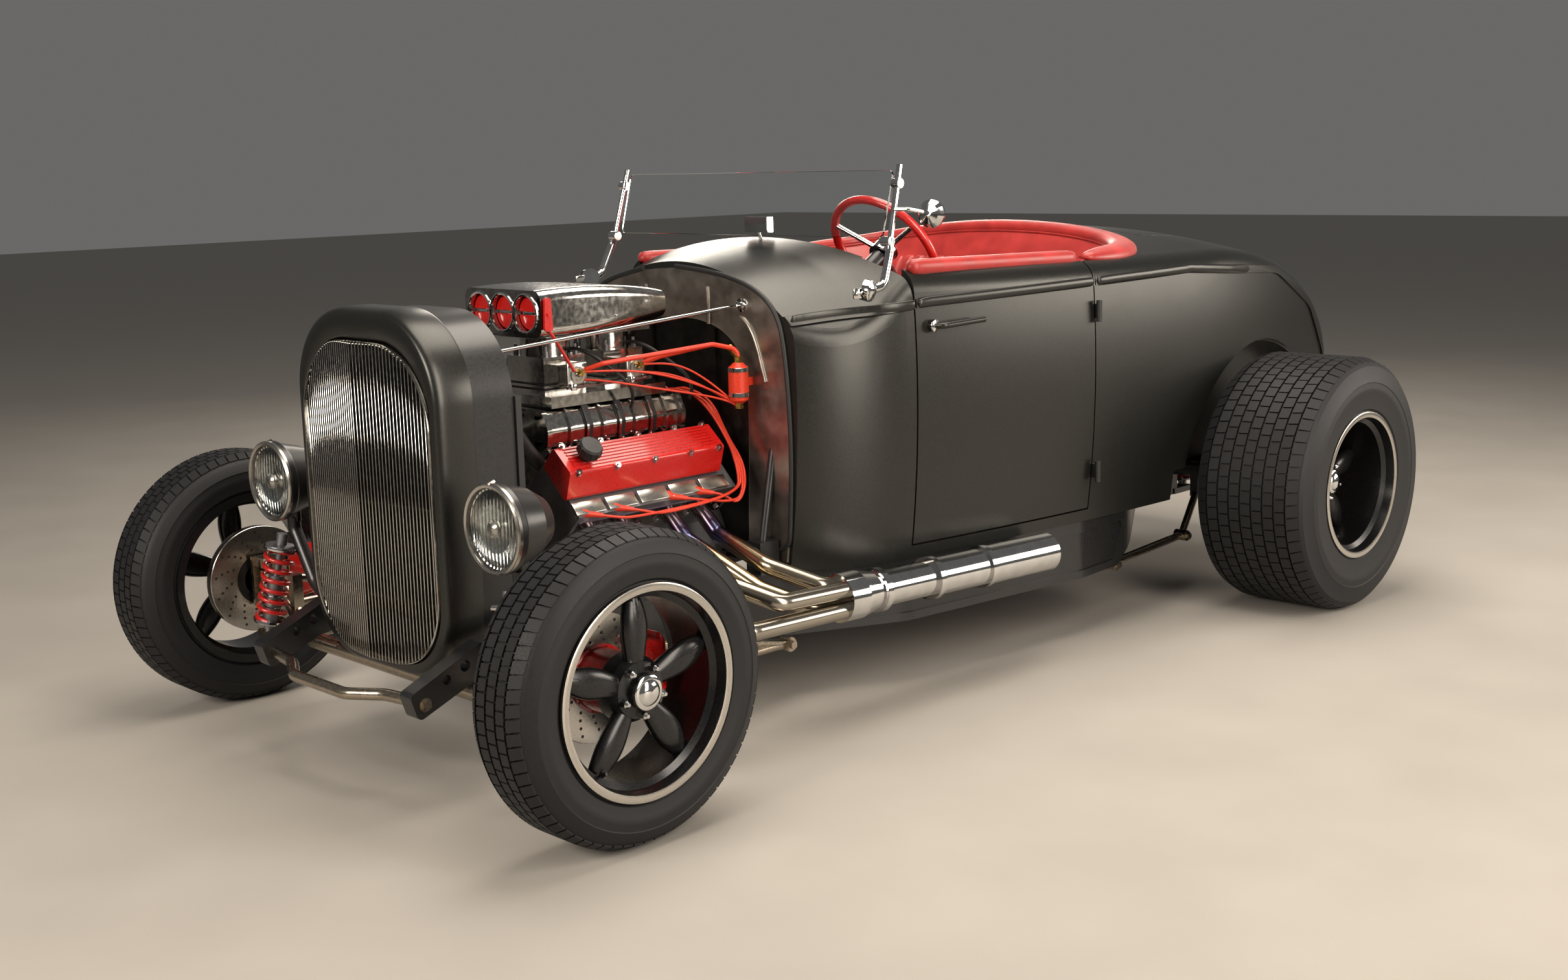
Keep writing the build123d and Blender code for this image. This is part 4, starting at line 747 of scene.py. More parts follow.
def dressScoop():
    scoop = {"front": aft(0.326), "mouths": (-0.092, 0, 0.092), "level": 1.044, "pinSpread": 0.022,
             "spindle": 0.040}
    rivet = {"count": 9, "firstAft": 0.40, "pitch": 0.040, "side": 0.1492, "low": 1.014, "rise": 0.018,
             "noseAft": 0.326, "length": 0.426, "taperAft": 0.56, "taperLength": 0.192, "taper": 0.034}
    rims, pins = bmesh.new(), bmesh.new()
    for x in scoop["mouths"]:
        addTurned(rims, [(0.0, 0.0415), (0.0035, 0.0425), (0.0045, 0.0455), (0.0035, 0.0485), (0.0, 0.0495),
                         (0.0, 0.0415)], (x, scoop["front"], scoop["level"]), (0, -1, 0), 48)
        for dx in (-scoop["pinSpread"], scoop["pinSpread"]):
            addRod(pins, (x + dx, scoop["front"] + 0.012, scoop["level"]),
                   (x + dx, scoop["front"] + 0.006, scoop["level"]), 0.0035, 8)
        addRod(pins, (x - scoop["spindle"], scoop["front"] + 0.0135, scoop["level"]),
               (x + scoop["spindle"], scoop["front"] + 0.0135, scoop["level"]), 0.0052, 12)
    makePiece("scoopRims", rims, "chrome", "body")
    makePiece("butterflyPins", pins, "chrome", "body")
    rivets = bmesh.new()
    for index in range(rivet["count"]):
        place = rivet["firstAft"] + rivet["pitch"] * index
        x = rivet["side"] - rivet["taper"] * max(0, (place - rivet["taperAft"]) / rivet["taperLength"])
        z = rivet["low"] + rivet["rise"] * (place - rivet["noseAft"]) / rivet["length"]
        addTurned(rivets, [(-0.001, 0.0034), (0.0008, 0.0032), (0.0016, 0.0)], (x, aft(place), z),
                  (1, 0, 0), 10)
    bothSides(rivets)
    makePiece("scoopRivets", rivets, "chrome", "body")

def dressHoses():
    # Brass elbows and chrome bands on the fuel filter, vacuum hoses and the radiator's two hoses
    fuel = {"filterX": 0.280, "filterY": aft(0.846), "elbowZ": (0.892, 0.780), "bandZ": (0.806, 0.870),
            "inletsAft": (0.455, 0.645)}
    vacuumRuns = ((0.470, 0.60), (0.660, 0.80))
    x, y = fuel["filterX"], fuel["filterY"]
    elbows = bmesh.new()
    for z in fuel["elbowZ"]:
        addRod(elbows, (x, y, z - 0.010), (x, y, z + 0.012), 0.011, 6)
    addRod(elbows, (x, y, 0.902), (x - 0.030, y, 0.926), 0.009, 10)
    for place in fuel["inletsAft"]:
        addRod(elbows, (0.118, aft(place), 0.886), (0.140, aft(place), 0.894), 0.008, 6)
    makePiece("brassElbows", elbows, "brass", "body")
    bands = bmesh.new()
    for z in fuel["bandZ"]:
        addTurned(bands, [(-0.006, 0.0262), (-0.005, 0.0275), (0.005, 0.0275), (0.006, 0.0262)], (x, y, z),
                  (0, 0, 1), 32)
    makePiece("filterBands", bands, "chrome", "body")
    for index, (fromAft, toAft) in enumerate(vacuumRuns):
        startY, endY = aft(fromAft), aft(toAft)
        addHose("vacuumHose" + str(index), [(0.06, startY, 0.944), (0.10, startY + 0.01, 0.955),
                                            (0.165, startY + 0.05, 0.90), (0.175, endY, 0.84),
                                            (0.142, endY, 0.79)], 0.0045, "rubber")
    for sideName, side in carSides:
        addHose("radiatorHose" + sideName.capitalize(),
                [(side * 0.15, aft(0.066), 0.86), (side * 0.15, aft(0.16), 0.862),
                 (side * 0.13, aft(0.24), 0.80), (side * 0.115, aft(0.30), 0.70),
                 (side * 0.105, aft(0.36), 0.66)], 0.018, "rubber")


dressCovers()
dressBlower()
dressCarburettors()
dressScoop()
dressHoses()
print("engine dressed")


# Body: rubber bead round the cowl's open end, roses behind the door handles and hinge knuckles

def addCowlBead():
    bead = {"y": aft(0.895), "radius": 0.0065,
            "edge": ((0.000, 1.122), (0.130, 1.113), (0.250, 1.090), (0.330, 1.055), (0.378, 1.005),
                     (0.396, 0.940), (0.409, 0.824), (0.416, 0.660), (0.408, 0.491), (0.396, 0.372))}
    outline = list(bead["edge"]) + [(-x, z) for x, z in reversed(bead["edge"][1:])]
    addHose("cowlBead", [(x, bead["y"], z) for x, z in outline], bead["radius"], "rubber", 3)


def dressDoors():
    rose = {"place": (0.583, aft(1.262), 0.962), "lean": 0.15}
    hinge = {"x": 0.656, "y": aft(1.893), "levels": (0.954, 0.497), "half": 0.030, "radius": 0.0085,
             "joints": (-0.010, 0.010), "jointHalf": 0.0006, "jointRadius": 0.0092}
    for sideName, side in carSides:
        x, y, z = rose["place"]
        mesh = bmesh.new()
        addTurned(mesh, [(0.0, 0.017), (0.003, 0.0165), (0.005, 0.012), (0.005, 0.0)], (side * x, y, z),
                  (side, rose["lean"], 0), 24)
        makePiece("handleRose" + sideName.capitalize(), mesh, "chrome", "door_" + sideName)
    hinges = bmesh.new()
    x, y = hinge["x"], hinge["y"]
    for level in hinge["levels"]:
        addRod(hinges, (x, y, level - hinge["half"]), (x, y, level + hinge["half"]), hinge["radius"], 16)
        for dz in hinge["joints"]:
            addRod(hinges, (x, y, level + dz - hinge["jointHalf"]), (x, y, level + dz + hinge["jointHalf"]),
                   hinge["jointRadius"], 16)
    bothSides(hinges)
    makePiece("hingeKnuckles", hinges, "rubber", "body")


addCowlBead()
dressDoors()
print("body dressed")


# Padded forms: a closed grid placed point by point round a section and along a spine

def addPad(mesh, columns, rows, shape):
    # shape(s, turn) places one point: s runs from -1 to 1 along the pad, turn once round its section
    verts = bmesh.ops.create_grid(mesh, x_segments=columns, y_segments=rows, size=1)["verts"]
    for vert in verts:
        vert.co = shape(vert.co.x, (vert.co.y + 1) * math.pi)
    bmesh.ops.remove_doubles(mesh, verts=verts, dist=0.00005)


def squared(turn, power):
    # Point of a unit superellipse: 2 is round, 5 is nearly square
    cosine, sine = math.cos(turn), math.sin(turn)
    return math.copysign(abs(cosine) ** (2 / power), cosine), math.copysign(abs(sine) ** (2 / power), sine)


def endRound(s, power):
    return (1 - min(1.0, abs(s)) ** power) ** 0.4


def pleatGroove(s, count):
    # 1 at each sewn channel across the pad, falling off to 0 within a few millimetres
    return abs(math.cos(math.pi * s * count / 2)) ** 14


def clamped(value):
    return max(0.0, min(1.0, value))


def buildSeat():
    # One cushion and one back across the cabin, with sewn pleats that run away from the eye
    seat = {"half": 0.496, "pleats": 24, "seam": 0.011, "squareness": 4.2}
    cushion = {"y": aft(1.843), "z": 0.474, "halfY": 0.214, "halfZ": 0.113, "crown": 0.014, "tunnelZ": 0.352,
               "tunnelRadius": 0.087}
    back = {"half": 0.508, "y": aft(2.156), "z": 0.832, "thick": 0.060, "tall": 0.250, "lean": 21.4}
    lean = math.radians(back["lean"])
    rising, facing = Vector((0, math.sin(lean), math.cos(lean))), Vector((0, -math.cos(lean), math.sin(lean)))

    def cushionPoint(s, turn):
        run, rise = squared(turn, seat["squareness"])
        end = endRound(s, 9)
        top = clamped(rise * 2.2 - 0.6)
        groove = seat["seam"] * pleatGroove(s, seat["pleats"]) * top * end
        x = s * seat["half"]
        y = cushion["y"] + run * cushion["halfY"] * (0.35 + 0.65 * end)
        sunk = groove + cushion["crown"] * (1 - top * (1 - run * run))
        z = cushion["z"] + rise * cushion["halfZ"] * end - sunk
        if abs(x) < cushion["tunnelRadius"]:  # the underside clears the gearbox tunnel
            z = max(z, cushion["tunnelZ"] + math.sqrt(cushion["tunnelRadius"] ** 2 - x * x))
        return Vector((x, y, z))

    mesh = bmesh.new()
    addPad(mesh, 192, 56, cushionPoint)
    piece = makePiece("seatCushion", mesh, "leather", "body", 60)
    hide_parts("seat_cushion")

    def backPoint(s, turn):
        thick, high = squared(turn, seat["squareness"])
        end = endRound(s, 10)
        front = clamped((thick + 0.5) * 1.6)
        groove = seat["seam"] * pleatGroove(s, seat["pleats"]) * front * end
        thickness = thick * back["thick"] * end - groove * (1 if thick > 0 else 0.4)
        height = high * (back["tall"] - 0.6 * groove) * (0.5 + 0.5 * end)
        return Vector((s * back["half"], back["y"], back["z"])) + facing * thickness + rising * height

    mesh = bmesh.new()
    addPad(mesh, 192, 56, backPoint)
    piece = makePiece("seatBack", mesh, "leather", "body", 60)
    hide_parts("seat_back")


def rimPlace(s, inset, drop):
    # A point by the cockpit's rounded rear rim: s runs from the right door round the back to the left door
    rim = {"half": 0.600, "depth": 0.434, "frontY": aft(1.900), "squareness": 3.8, "crownAxis": -1.560,
           "crownRadius": 2.720}
    across, back = squared((s + 1) / 2 * math.pi, rim["squareness"])
    x = -across * (rim["half"] - inset)
    z = rim["crownAxis"] + math.sqrt(rim["crownRadius"] ** 2 - x * x) - drop
    return Vector((x, rim["frontY"] + back * (rim["depth"] - inset), z))


def buildCoaming():
    # A roll along the cockpit's rim, a padded panel hanging inside it and piping on the seam between them
    roll = {"inset": 0.023, "width": 0.036, "lift": 0.003, "height": 0.024}
    panel = {"inset": 0.080, "width": 0.036, "drop": 0.058, "depth": 0.056, "swell": 0.010}
    piping = {"inset": 0.0565, "drop": 0.0055, "radius": 0.0035, "end": 0.97, "steps": 40}

    def rollPoint(s, turn):
        inward, up = squared(turn, 2.3)
        end = endRound(s, 18)
        inset = roll["inset"] + roll["width"] * inward * end
        return rimPlace(s, inset, -roll["lift"] - roll["height"] * up * end)

    mesh = bmesh.new()
    addPad(mesh, 120, 20, rollPoint)
    piece = makePiece("coamingRoll", mesh, "leather", "body", 60)
    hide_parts("cockpit_trim")

    def panelPoint(s, turn):
        thick, along = squared(turn, 3.0)
        end = endRound(s, 24)
        swell = panel["swell"] * thick * end
        return rimPlace(s, panel["inset"] + panel["width"] * along * end + swell * 0.8,
                        panel["drop"] + panel["depth"] * along * end - swell * 0.5)

    mesh = bmesh.new()
    addPad(mesh, 120, 24, panelPoint)
    piece = makePiece("coamingPanel", mesh, "leather", "body", 60)
    shares = [piping["end"] * (2 * step / piping["steps"] - 1) for step in range(piping["steps"] + 1)]
    addHose("coamingPiping", [rimPlace(share, piping["inset"], piping["drop"]) for share in shares],
            piping["radius"], "leather")


def doorInside(y, z):
    # Inner face of the door's skin: it bows along the car and tucks in above and below the waist
    skin = {"frontY": aft(1.180), "frontX": 0.530, "spread": 0.1576, "bow": 0.0593, "waistZ": 0.780,
            "reach": 0.400, "tuck": 0.024}
    run = y - skin["frontY"]
    tuck = skin["tuck"] * ((z - skin["waistZ"]) / skin["reach"]) ** 2
    return skin["frontX"] + skin["spread"] * run - skin["bow"] * run * run - tuck


def buildDoorPanel(name, side):
    # Pleated panel over the door's inner skin, a roll along its top edge and the inside lever
    panel = {"y": aft(1.551), "halfY": 0.316, "z": 0.735, "halfZ": 0.303, "thick": 0.0115, "offSkin": 0.0135,
             "pleats": 15, "seam": 0.007, "pleatTop": 0.86, "pleatFoot": 0.46, "creaseZ": 0.872,
             "crease": 0.006, "creaseHalf": 0.004}
    roll = {"start": (0.527, aft(1.218), 1.112), "finish": (0.578, aft(1.884), 1.102), "radius": 0.0215}
    lever = {"y": aft(1.330), "z": 0.900, "offSkin": 0.024, "reach": (0, 0.075, -0.012)}

    def panelPoint(s, turn):
        thick, high = squared(turn, 5.0)
        end = endRound(s, 20)
        y = panel["y"] + s * panel["halfY"]
        z = panel["z"] + high * panel["halfZ"] * (0.8 + 0.2 * end)
        groove = 0.0
        if thick < 0:
            pleated = clamped((panel["pleatTop"] - z) * 40) * clamped((z - panel["pleatFoot"]) * 40)
            groove = panel["seam"] * pleatGroove(s, panel["pleats"]) * pleated
            groove += panel["crease"] * math.exp(-((z - panel["creaseZ"]) / panel["creaseHalf"]) ** 2)
        x = doorInside(y, z) - panel["offSkin"] + (thick * panel["thick"] + groove) * end
        return Vector((side * x, y, z))

    start, finish = (Vector((side * x, y, z)) for x, y, z in (roll["start"], roll["finish"]))
    across = Vector((finish.y - start.y, start.x - finish.x, 0)).normalized()

    def rollPoint(s, turn):
        wide, high = squared(turn, 2.3)
        reach = roll["radius"] * endRound(s, 24)
        return start.lerp(finish, (s + 1) / 2) + across * wide * reach + Vector((0, 0, high * reach))

    mesh = bmesh.new()
    addPad(mesh, 150, 64, panelPoint)
    addPad(mesh, 40, 20, rollPoint)
    piece = makePiece("doorPanel" + name.capitalize(), mesh, "leather", "door_" + name, 60)
    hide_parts("door_trim_" + name)
    fittings = bmesh.new()
    seat = Vector((side * (doorInside(lever["y"], lever["z"]) - lever["offSkin"]), lever["y"], lever["z"]))
    inward = Vector((-side, 0, 0))
    addTurned(fittings, [(0.0, 0.022), (0.004, 0.021), (0.006, 0.012), (0.016, 0.010), (0.018, 0.0)], seat,
              inward, 28)
    addRod(fittings, seat + inward * 0.014, seat + inward * 0.016 + Vector(lever["reach"]), 0.0055, 12,
           0.0075)
    makePiece("doorLever" + name.capitalize(), fittings, "chrome", "door_" + name)


def dressWheelAndDash():
    column = {"centre": (0.337, aft(1.352), 1.146), "axis": (0, 0.84, 0.5426), "rimRadius": 0.162,
              "section": 0.0117, "sides": 14}
    dial = {"y": aft(1.204), "marks": 13, "firstMark": -40, "sweep": 260, "hand": 2.2,
            "places": ((0.262, 1.030, 0.040), (0.372, 1.022, 0.040), (0.085, 1.040, 0.026),
                       (0.0, 1.045, 0.026), (-0.085, 1.040, 0.026))}
    rim = bmesh.new()
    turns = [math.tau * step / column["sides"] for step in range(column["sides"])]
    section = [(column["section"] * math.sin(turn), column["rimRadius"] + column["section"] * math.cos(turn))
               for turn in turns]
    addTurned(rim, section + section[:1], column["centre"], column["axis"], 72)
    makePiece("wheelRimCover", rim, "red", "steering_wheel")
    boss = bmesh.new()
    addTurned(boss, [(0.006, 0.036), (0.010, 0.035), (0.014, 0.028), (0.016, 0.012), (0.0165, 0.0)],
              column["centre"], column["axis"], 40)
    makePiece("wheelBoss", boss, "red", "steering_wheel")
    rings, faces, marks = bmesh.new(), bmesh.new(), bmesh.new()
    for x, z, radius in dial["places"]:
        addTurned(rings, [(-0.001, radius + 0.004), (0.006, radius + 0.004), (0.008, radius),
                          (0.004, radius - 0.002), (-0.001, radius + 0.004)], (x, dial["y"], z), (0, 1, 0),
                  40)
        addTurned(faces, [(0.0022, radius - 0.001), (0.0020, 0.0)], (x, dial["y"], z), (0, 1, 0), 32)
        spot = Vector((x, dial["y"] + 0.0024, z))
        for index in range(dial["marks"]):
            turn = math.radians(dial["firstMark"] + dial["sweep"] * index / (dial["marks"] - 1))
            ray = Vector((math.cos(turn), 0, math.sin(turn)))
            addRod(marks, spot + ray * radius * 0.74, spot + ray * radius * 0.90, 0.0007, 6)
        hand = Vector((math.cos(dial["hand"]), 0, math.sin(dial["hand"])))
        spot = Vector((x, dial["y"] + 0.0036, z))
        addRod(marks, spot - hand * radius * 0.15, spot + hand * radius * 0.72, 0.0012, 6, 0.0005)
    makePiece("dialRings", rings, "chrome", "body")
    makePiece("dialFaces", faces, "dark", "body")
    makePiece("dialMarks", marks, "ceramic", "body")


buildSeat()
buildCoaming()
for sideName, side in carSides:
    buildDoorPanel(sideName, side)
dressWheelAndDash()
print("cabin trimmed")


# Firewall: wide flange, lighter than the recessed panel it rings because that panel carries painted shade,
# with a pressed rib at each shoulder

def alongPoints(points, share):
    # A smooth line through given points
    reach = clamped(share) * (len(points) - 1)
    index = min(int(reach), len(points) - 2)
    local = reach - index
    a, b, c, d = (Vector(points[max(0, min(len(points) - 1, index + step))]) for step in (-1, 0, 1, 2))
    return 0.5 * (2 * b + (c - a) * local + (2 * a - 5 * b + 4 * c - d) * local ** 2
                  + (3 * b - a - 3 * c + d) * local ** 3)


def buildFlange():
    flange = {"outer": ((0.000, 1.118), (0.130, 1.109), (0.248, 1.086), (0.327, 1.051), (0.373, 1.002),
                        (0.391, 0.938), (0.404, 0.823), (0.411, 0.660), (0.404, 0.491), (0.392, 0.372)),
              "inner": ((0.000, 0.985), (0.075, 0.982), (0.150, 0.964), (0.205, 0.930), (0.238, 0.885),
                        (0.252, 0.835), (0.256, 0.760), (0.254, 0.640), (0.248, 0.500), (0.244, 0.380)),
              "rows": ((0.0, 0.8992), (0.02, 0.8958), (0.5, 0.8950), (0.94, 0.8956), (0.985, 0.8985),
                       (1.0, 0.9112))}
    rib = {"aft": 0.8955, "radius": 0.0075, "shoulderRadius": 0.0065,
           "line": ((0.244, 0.999), (0.262, 0.990), (0.285, 0.962), (0.302, 0.926), (0.315, 0.885),
                    (0.326, 0.850), (0.330, 0.836)),
           "shoulderLine": ((0.122, 1.072), (0.124, 1.030), (0.122, 0.975))}
    mesh = bmesh.new()
    steps = len(flange["rows"]) - 1
    verts = bmesh.ops.create_grid(mesh, x_segments=96, y_segments=steps, size=1)["verts"]
    for vert in verts:
        share, depth = flange["rows"][round((vert.co.y + 1) / 2 * steps)]
        side = math.copysign(1, vert.co.x)
        outer, inner = (alongPoints(flange[key], abs(vert.co.x)) for key in ("outer", "inner"))
        spot = outer.lerp(inner, share)
        vert.co = Vector((side * spot.x, aft(depth), spot.y))
    makePiece("firewallFlange", mesh, "bare", "body", 30)
    for sideName, side in carSides:
        for name, line, radius in (("pressedRib", rib["line"], rib["radius"]),
                                   ("shoulderRib", rib["shoulderLine"], rib["shoulderRadius"])):
            points = [(side * x, aft(rib["aft"]), z) for x, z in line]
            addHose(name + sideName.capitalize(), points, radius, "bare", 3)
    seats = bmesh.new()
    addTurned(seats, [(0.0, 0.019), (0.004, 0.018), (0.005, 0.010), (0.014, 0.009), (0.016, 0.0)],
              (0.249, aft(rib["aft"]), 1.029), (0, -1, 0), 24)
    bothSides(seats)
    makePiece("braceSeats", seats, "chrome", "body")


buildFlange()
print("firewall made")


# Grille shell: a rounded shell whose corners sweep under, with upright bars behind its opening

def roundedOutline(share, half, low, high, topRadius, footRadius):
    # Once round the outline; each corner is a quarter turn and takes a fixed part of the share
    corners = ((half - footRadius, low + footRadius, footRadius, -90),
               (half - topRadius, high - topRadius, topRadius, 0),
               (-half + topRadius, high - topRadius, topRadius, 90),
               (-half + footRadius, low + footRadius, footRadius, 180))
    position = (share % 1.0) * 4
    index = min(int(position), 3)
    local = position - index
    x, z, radius, start = corners[index]
    if local < 0.8:
        turn = math.radians(start + 90 * local / 0.8)
        return Vector((x + radius * math.cos(turn), z + radius * math.sin(turn)))
    nextX, nextZ, nextRadius, nextStart = corners[(index + 1) % 4]
    turn, nextTurn = math.radians(start + 90), math.radians(nextStart)
    first = Vector((x + radius * math.cos(turn), z + radius * math.sin(turn)))
    second = Vector((nextX + nextRadius * math.cos(nextTurn), nextZ + nextRadius * math.sin(nextTurn)))
    return first.lerp(second, (local - 0.8) / 0.2)


grille = {"half": 0.292, "low": 0.238, "high": 1.084, "topRadius": 0.212, "footRadius": 0.192,
          "frontY": aft(-0.078), "backY": aft(0.022), "linerY": aft(0.140), "faceInset": 0.0284,
          "round": 0.01768, "openHalf": 0.266, "openLow": 0.262, "openHigh": 1.013, "openTopRadius": 0.196,
          "openFootRadius": 0.180}
bars = {"pitch": 0.0115, "count": 22, "half": 0.0019, "depth": 0.014, "peak": 0.034, "seatY": aft(-0.074),
        "inset": 0.006, "steps": 400, "rails": (0.420, 0.640, 0.860), "railRadius": 0.003}


def outerRing(share, inset):
    return roundedOutline(share, grille["half"] - inset, grille["low"] + inset, grille["high"] - inset,
                          grille["topRadius"] - inset, grille["footRadius"] - inset)


def openRing(share, inset):
    return roundedOutline(share, grille["openHalf"] - inset, grille["openLow"] + inset,
                          grille["openHigh"] - inset, grille["openTopRadius"] - inset,
                          grille["openFootRadius"] - inset)


def addRings(mesh, rings, steps):
    # A tube wall through rings of (outline function, inset, y)
    last = len(rings) - 1
    verts = bmesh.ops.create_grid(mesh, x_segments=steps, y_segments=last, size=1)["verts"]
    for vert in verts:
        outline, inset, y = rings[round((vert.co.y + 1) / 2 * last)]
        spot = outline((vert.co.x + 1) / 2, inset)
        vert.co = Vector((spot.x, y, spot.y))
    bmesh.ops.remove_doubles(mesh, verts=verts, dist=0.00002)


def buildGrille():
    front, back, liner = grille["frontY"], grille["backY"], grille["linerY"]
    rings = [(openRing, 0.0, front + 0.034), (openRing, 0.0, front + 0.008),
             (openRing, -0.002, front + 0.003), (openRing, -0.007, front + 0.0005),
             (outerRing, grille["faceInset"], front)]
    for index in range(1, 9):  # the rounded front edge
        turn = math.radians(90 * index / 8)
        fall = 1 - math.cos(turn)
        y = front + 0.018 * fall + 0.016 * fall ** 2
        rings.append((outerRing, grille["round"] * (1 - math.sin(turn)), y))
    rings += [(outerRing, 0.0, back - 0.006), (outerRing, 0.002, back), (outerRing, 0.010, back),
              (outerRing, 0.012, front + 0.040)]
    shell = bmesh.new()
    addRings(shell, rings, 240)
    piece = makePiece("grilleShell", shell, "satin", "body", 40)
    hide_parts("grille_shell")
    shroud = bmesh.new()
    addRings(shroud, [(outerRing, 0.014, back - 0.030), (outerRing, 0.012, liner - 0.002),
                      (outerRing, 0.016, liner), (outerRing, 0.022, liner - 0.002),
                      (outerRing, 0.022, back - 0.030)], 160)
    makePiece("radiatorShroud", shroud, "enamel", "body", 40)


def spansAt(outline, x):
    # Heights at which an upright line crosses the opening
    return [a.lerp(b, (x - a.x) / (b.x - a.x)).y for a, b in zip(outline, outline[1:] + outline[:1])
            if (a.x - x) * (b.x - x) <= 0 and abs(a.x - b.x) > 1e-7]


def buildBars():
    front = grille["frontY"]
    mesh = bmesh.new()
    addRings(mesh, [(openRing, 0.001, front + 0.012), (openRing, 0.004, front - 0.004),
                    (openRing, 0.009, front - 0.004), (openRing, 0.012, front + 0.012),
                    (openRing, 0.001, front + 0.012)], 240)
    outline = [openRing(step / bars["steps"], bars["inset"]) for step in range(bars["steps"])]
    for index in range(-bars["count"], bars["count"] + 1):
        x = index * bars["pitch"]
        heights = spansAt(outline, x)
        if len(heights) < 2:
            continue
        y = bars["seatY"] - bars["peak"] * (1 - abs(x) / 0.26)
        addBlock(mesh, (x - bars["half"], y, min(heights)),
                 (x + bars["half"], y + bars["depth"], max(heights)), 0.0008, 1)
    behind = bars["seatY"] + bars["depth"]
    for z in bars["rails"]:
        reach = max(point.x for point in outline if abs(point.y - z) < 0.02) - 0.004
        for side in (1, -1):
            addRod(mesh, (0, behind - bars["peak"], z), (side * reach, behind, z), bars["railRadius"], 10)
    piece = makePiece("grilleBars", mesh, "polished", "body", 40)
    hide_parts("grille_insert")


buildGrille()
buildBars()
print("grille made")


# Ignition: distributor with towers, leads swept round the covers' rear ends, and long boots on the plugs

def buildIgnition():
    spark = {"place": (0, aft(0.841), 0.650), "towers": 8, "towerCircle": 0.034, "towerFoot": 0.100,
             "towerHeight": 0.022, "plugsAft": (0.331, 0.427, 0.605, 0.695), "plugX": 0.252, "plugZ": 0.577,
             "bootLine": (0.46, 0.86, -0.20), "bootLength": 0.062, "leadRadius": 0.0034, "leadGap": 0.006}
    cap = bmesh.new()
    addTurned(cap, [(-0.052, 0.0), (-0.052, 0.026), (0.060, 0.026), (0.064, 0.047), (0.070, 0.048),
                    (0.096, 0.046), (0.106, 0.034), (0.108, 0.0)], spark["place"], (0, 0, 1), 40)
    tops = []
    for index in range(spark["towers"]):
        turn = math.tau * (index + 0.5) / spark["towers"]
        foot = Vector(spark["place"]) + Vector((math.cos(turn) * spark["towerCircle"],
                                                math.sin(turn) * spark["towerCircle"], spark["towerFoot"]))
        top = foot + Vector((0, 0, spark["towerHeight"]))
        addRod(cap, foot, top, 0.008, 14, 0.0065)
        tops.append(top)
    piece = makePiece("distributorCap", cap, "lead", "body")
    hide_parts("ignition")
    line, length = Vector(spark["bootLine"]).normalized(), spark["bootLength"]
    seats = [Vector((spark["plugX"], aft(place), spark["plugZ"])) for place in spark["plugsAft"]]
    boots = bmesh.new()
    for seat in seats:
        addTurned(boots, [(0.0, 0.0), (0.0, 0.0115), (0.008, 0.0135), (0.014, 0.0125), (0.030, 0.0085),
                          (0.052, 0.0060), (length, 0.0052), (length, 0.0)], seat, line, 20)
    bothSides(boots)
    makePiece("plugBoots", boots, "lead", "body")
    for sideName, side in carSides:
        nearTops = [top for top in tops if top.x * side > 0]
        for index, (place, seat, top) in enumerate(zip(spark["plugsAft"], seats, nearTops)):
            tip = seat + line * (length - 0.004)
            gap = spark["leadGap"] * index
            bendAft = place + 0.13 if place < 0.6 else 0.800
            route = [tip, tip + line * 0.03, Vector((0.303 + gap / 2, aft(bendAft), 0.549 - gap)),
                     Vector((0.300 + gap / 2, aft(0.815 + gap), 0.552 + gap)),
                     Vector((0.275, aft(0.842 + gap), 0.610 + gap)),
                     Vector((0.225 - gap, aft(0.850 + gap), 0.690)),
                     Vector((0.150, aft(0.846 + gap), 0.775 + gap))]
            points = [(side * point.x, point.y, point.z) for point in route]
            points += [top + Vector((0, 0, 0.045)), top - Vector((0, 0, 0.002))]
            addHose(f"plugLead{sideName.capitalize()}{index}", points, spark["leadRadius"], "lead", 3)


# Machined pads on the heads, square to their sloping faces

def dressHeads():
    pad = {"count": 5, "x": 0.2575, "firstAft": 0.358, "pitch": 0.102, "z": 0.5855,
           "size": (0.090, 0.036, 0.010), "edge": 0.0022, "along": (-0.647, 0, 0.762),
           "normal": (0.762, 0, 0.647)}
    turn = Matrix((Vector((0, 1, 0)), Vector(pad["along"]), Vector(pad["normal"]))).transposed().to_4x4()
    mesh = bmesh.new()
    for index in range(pad["count"]):
        centre = Vector((pad["x"], aft(pad["firstAft"] + pad["pitch"] * index), pad["z"]))
        place = Matrix.Translation(centre) @ turn @ Matrix.Diagonal((*pad["size"], 1))
        roundEdges(mesh, bmesh.ops.create_cube(mesh, size=1, matrix=place)["verts"], pad["edge"])
    bothSides(mesh)
    makePiece("headPads", mesh, "machined", "body")


# Brake calipers: two jaws and a bridge over the disc's edge, with two piston caps

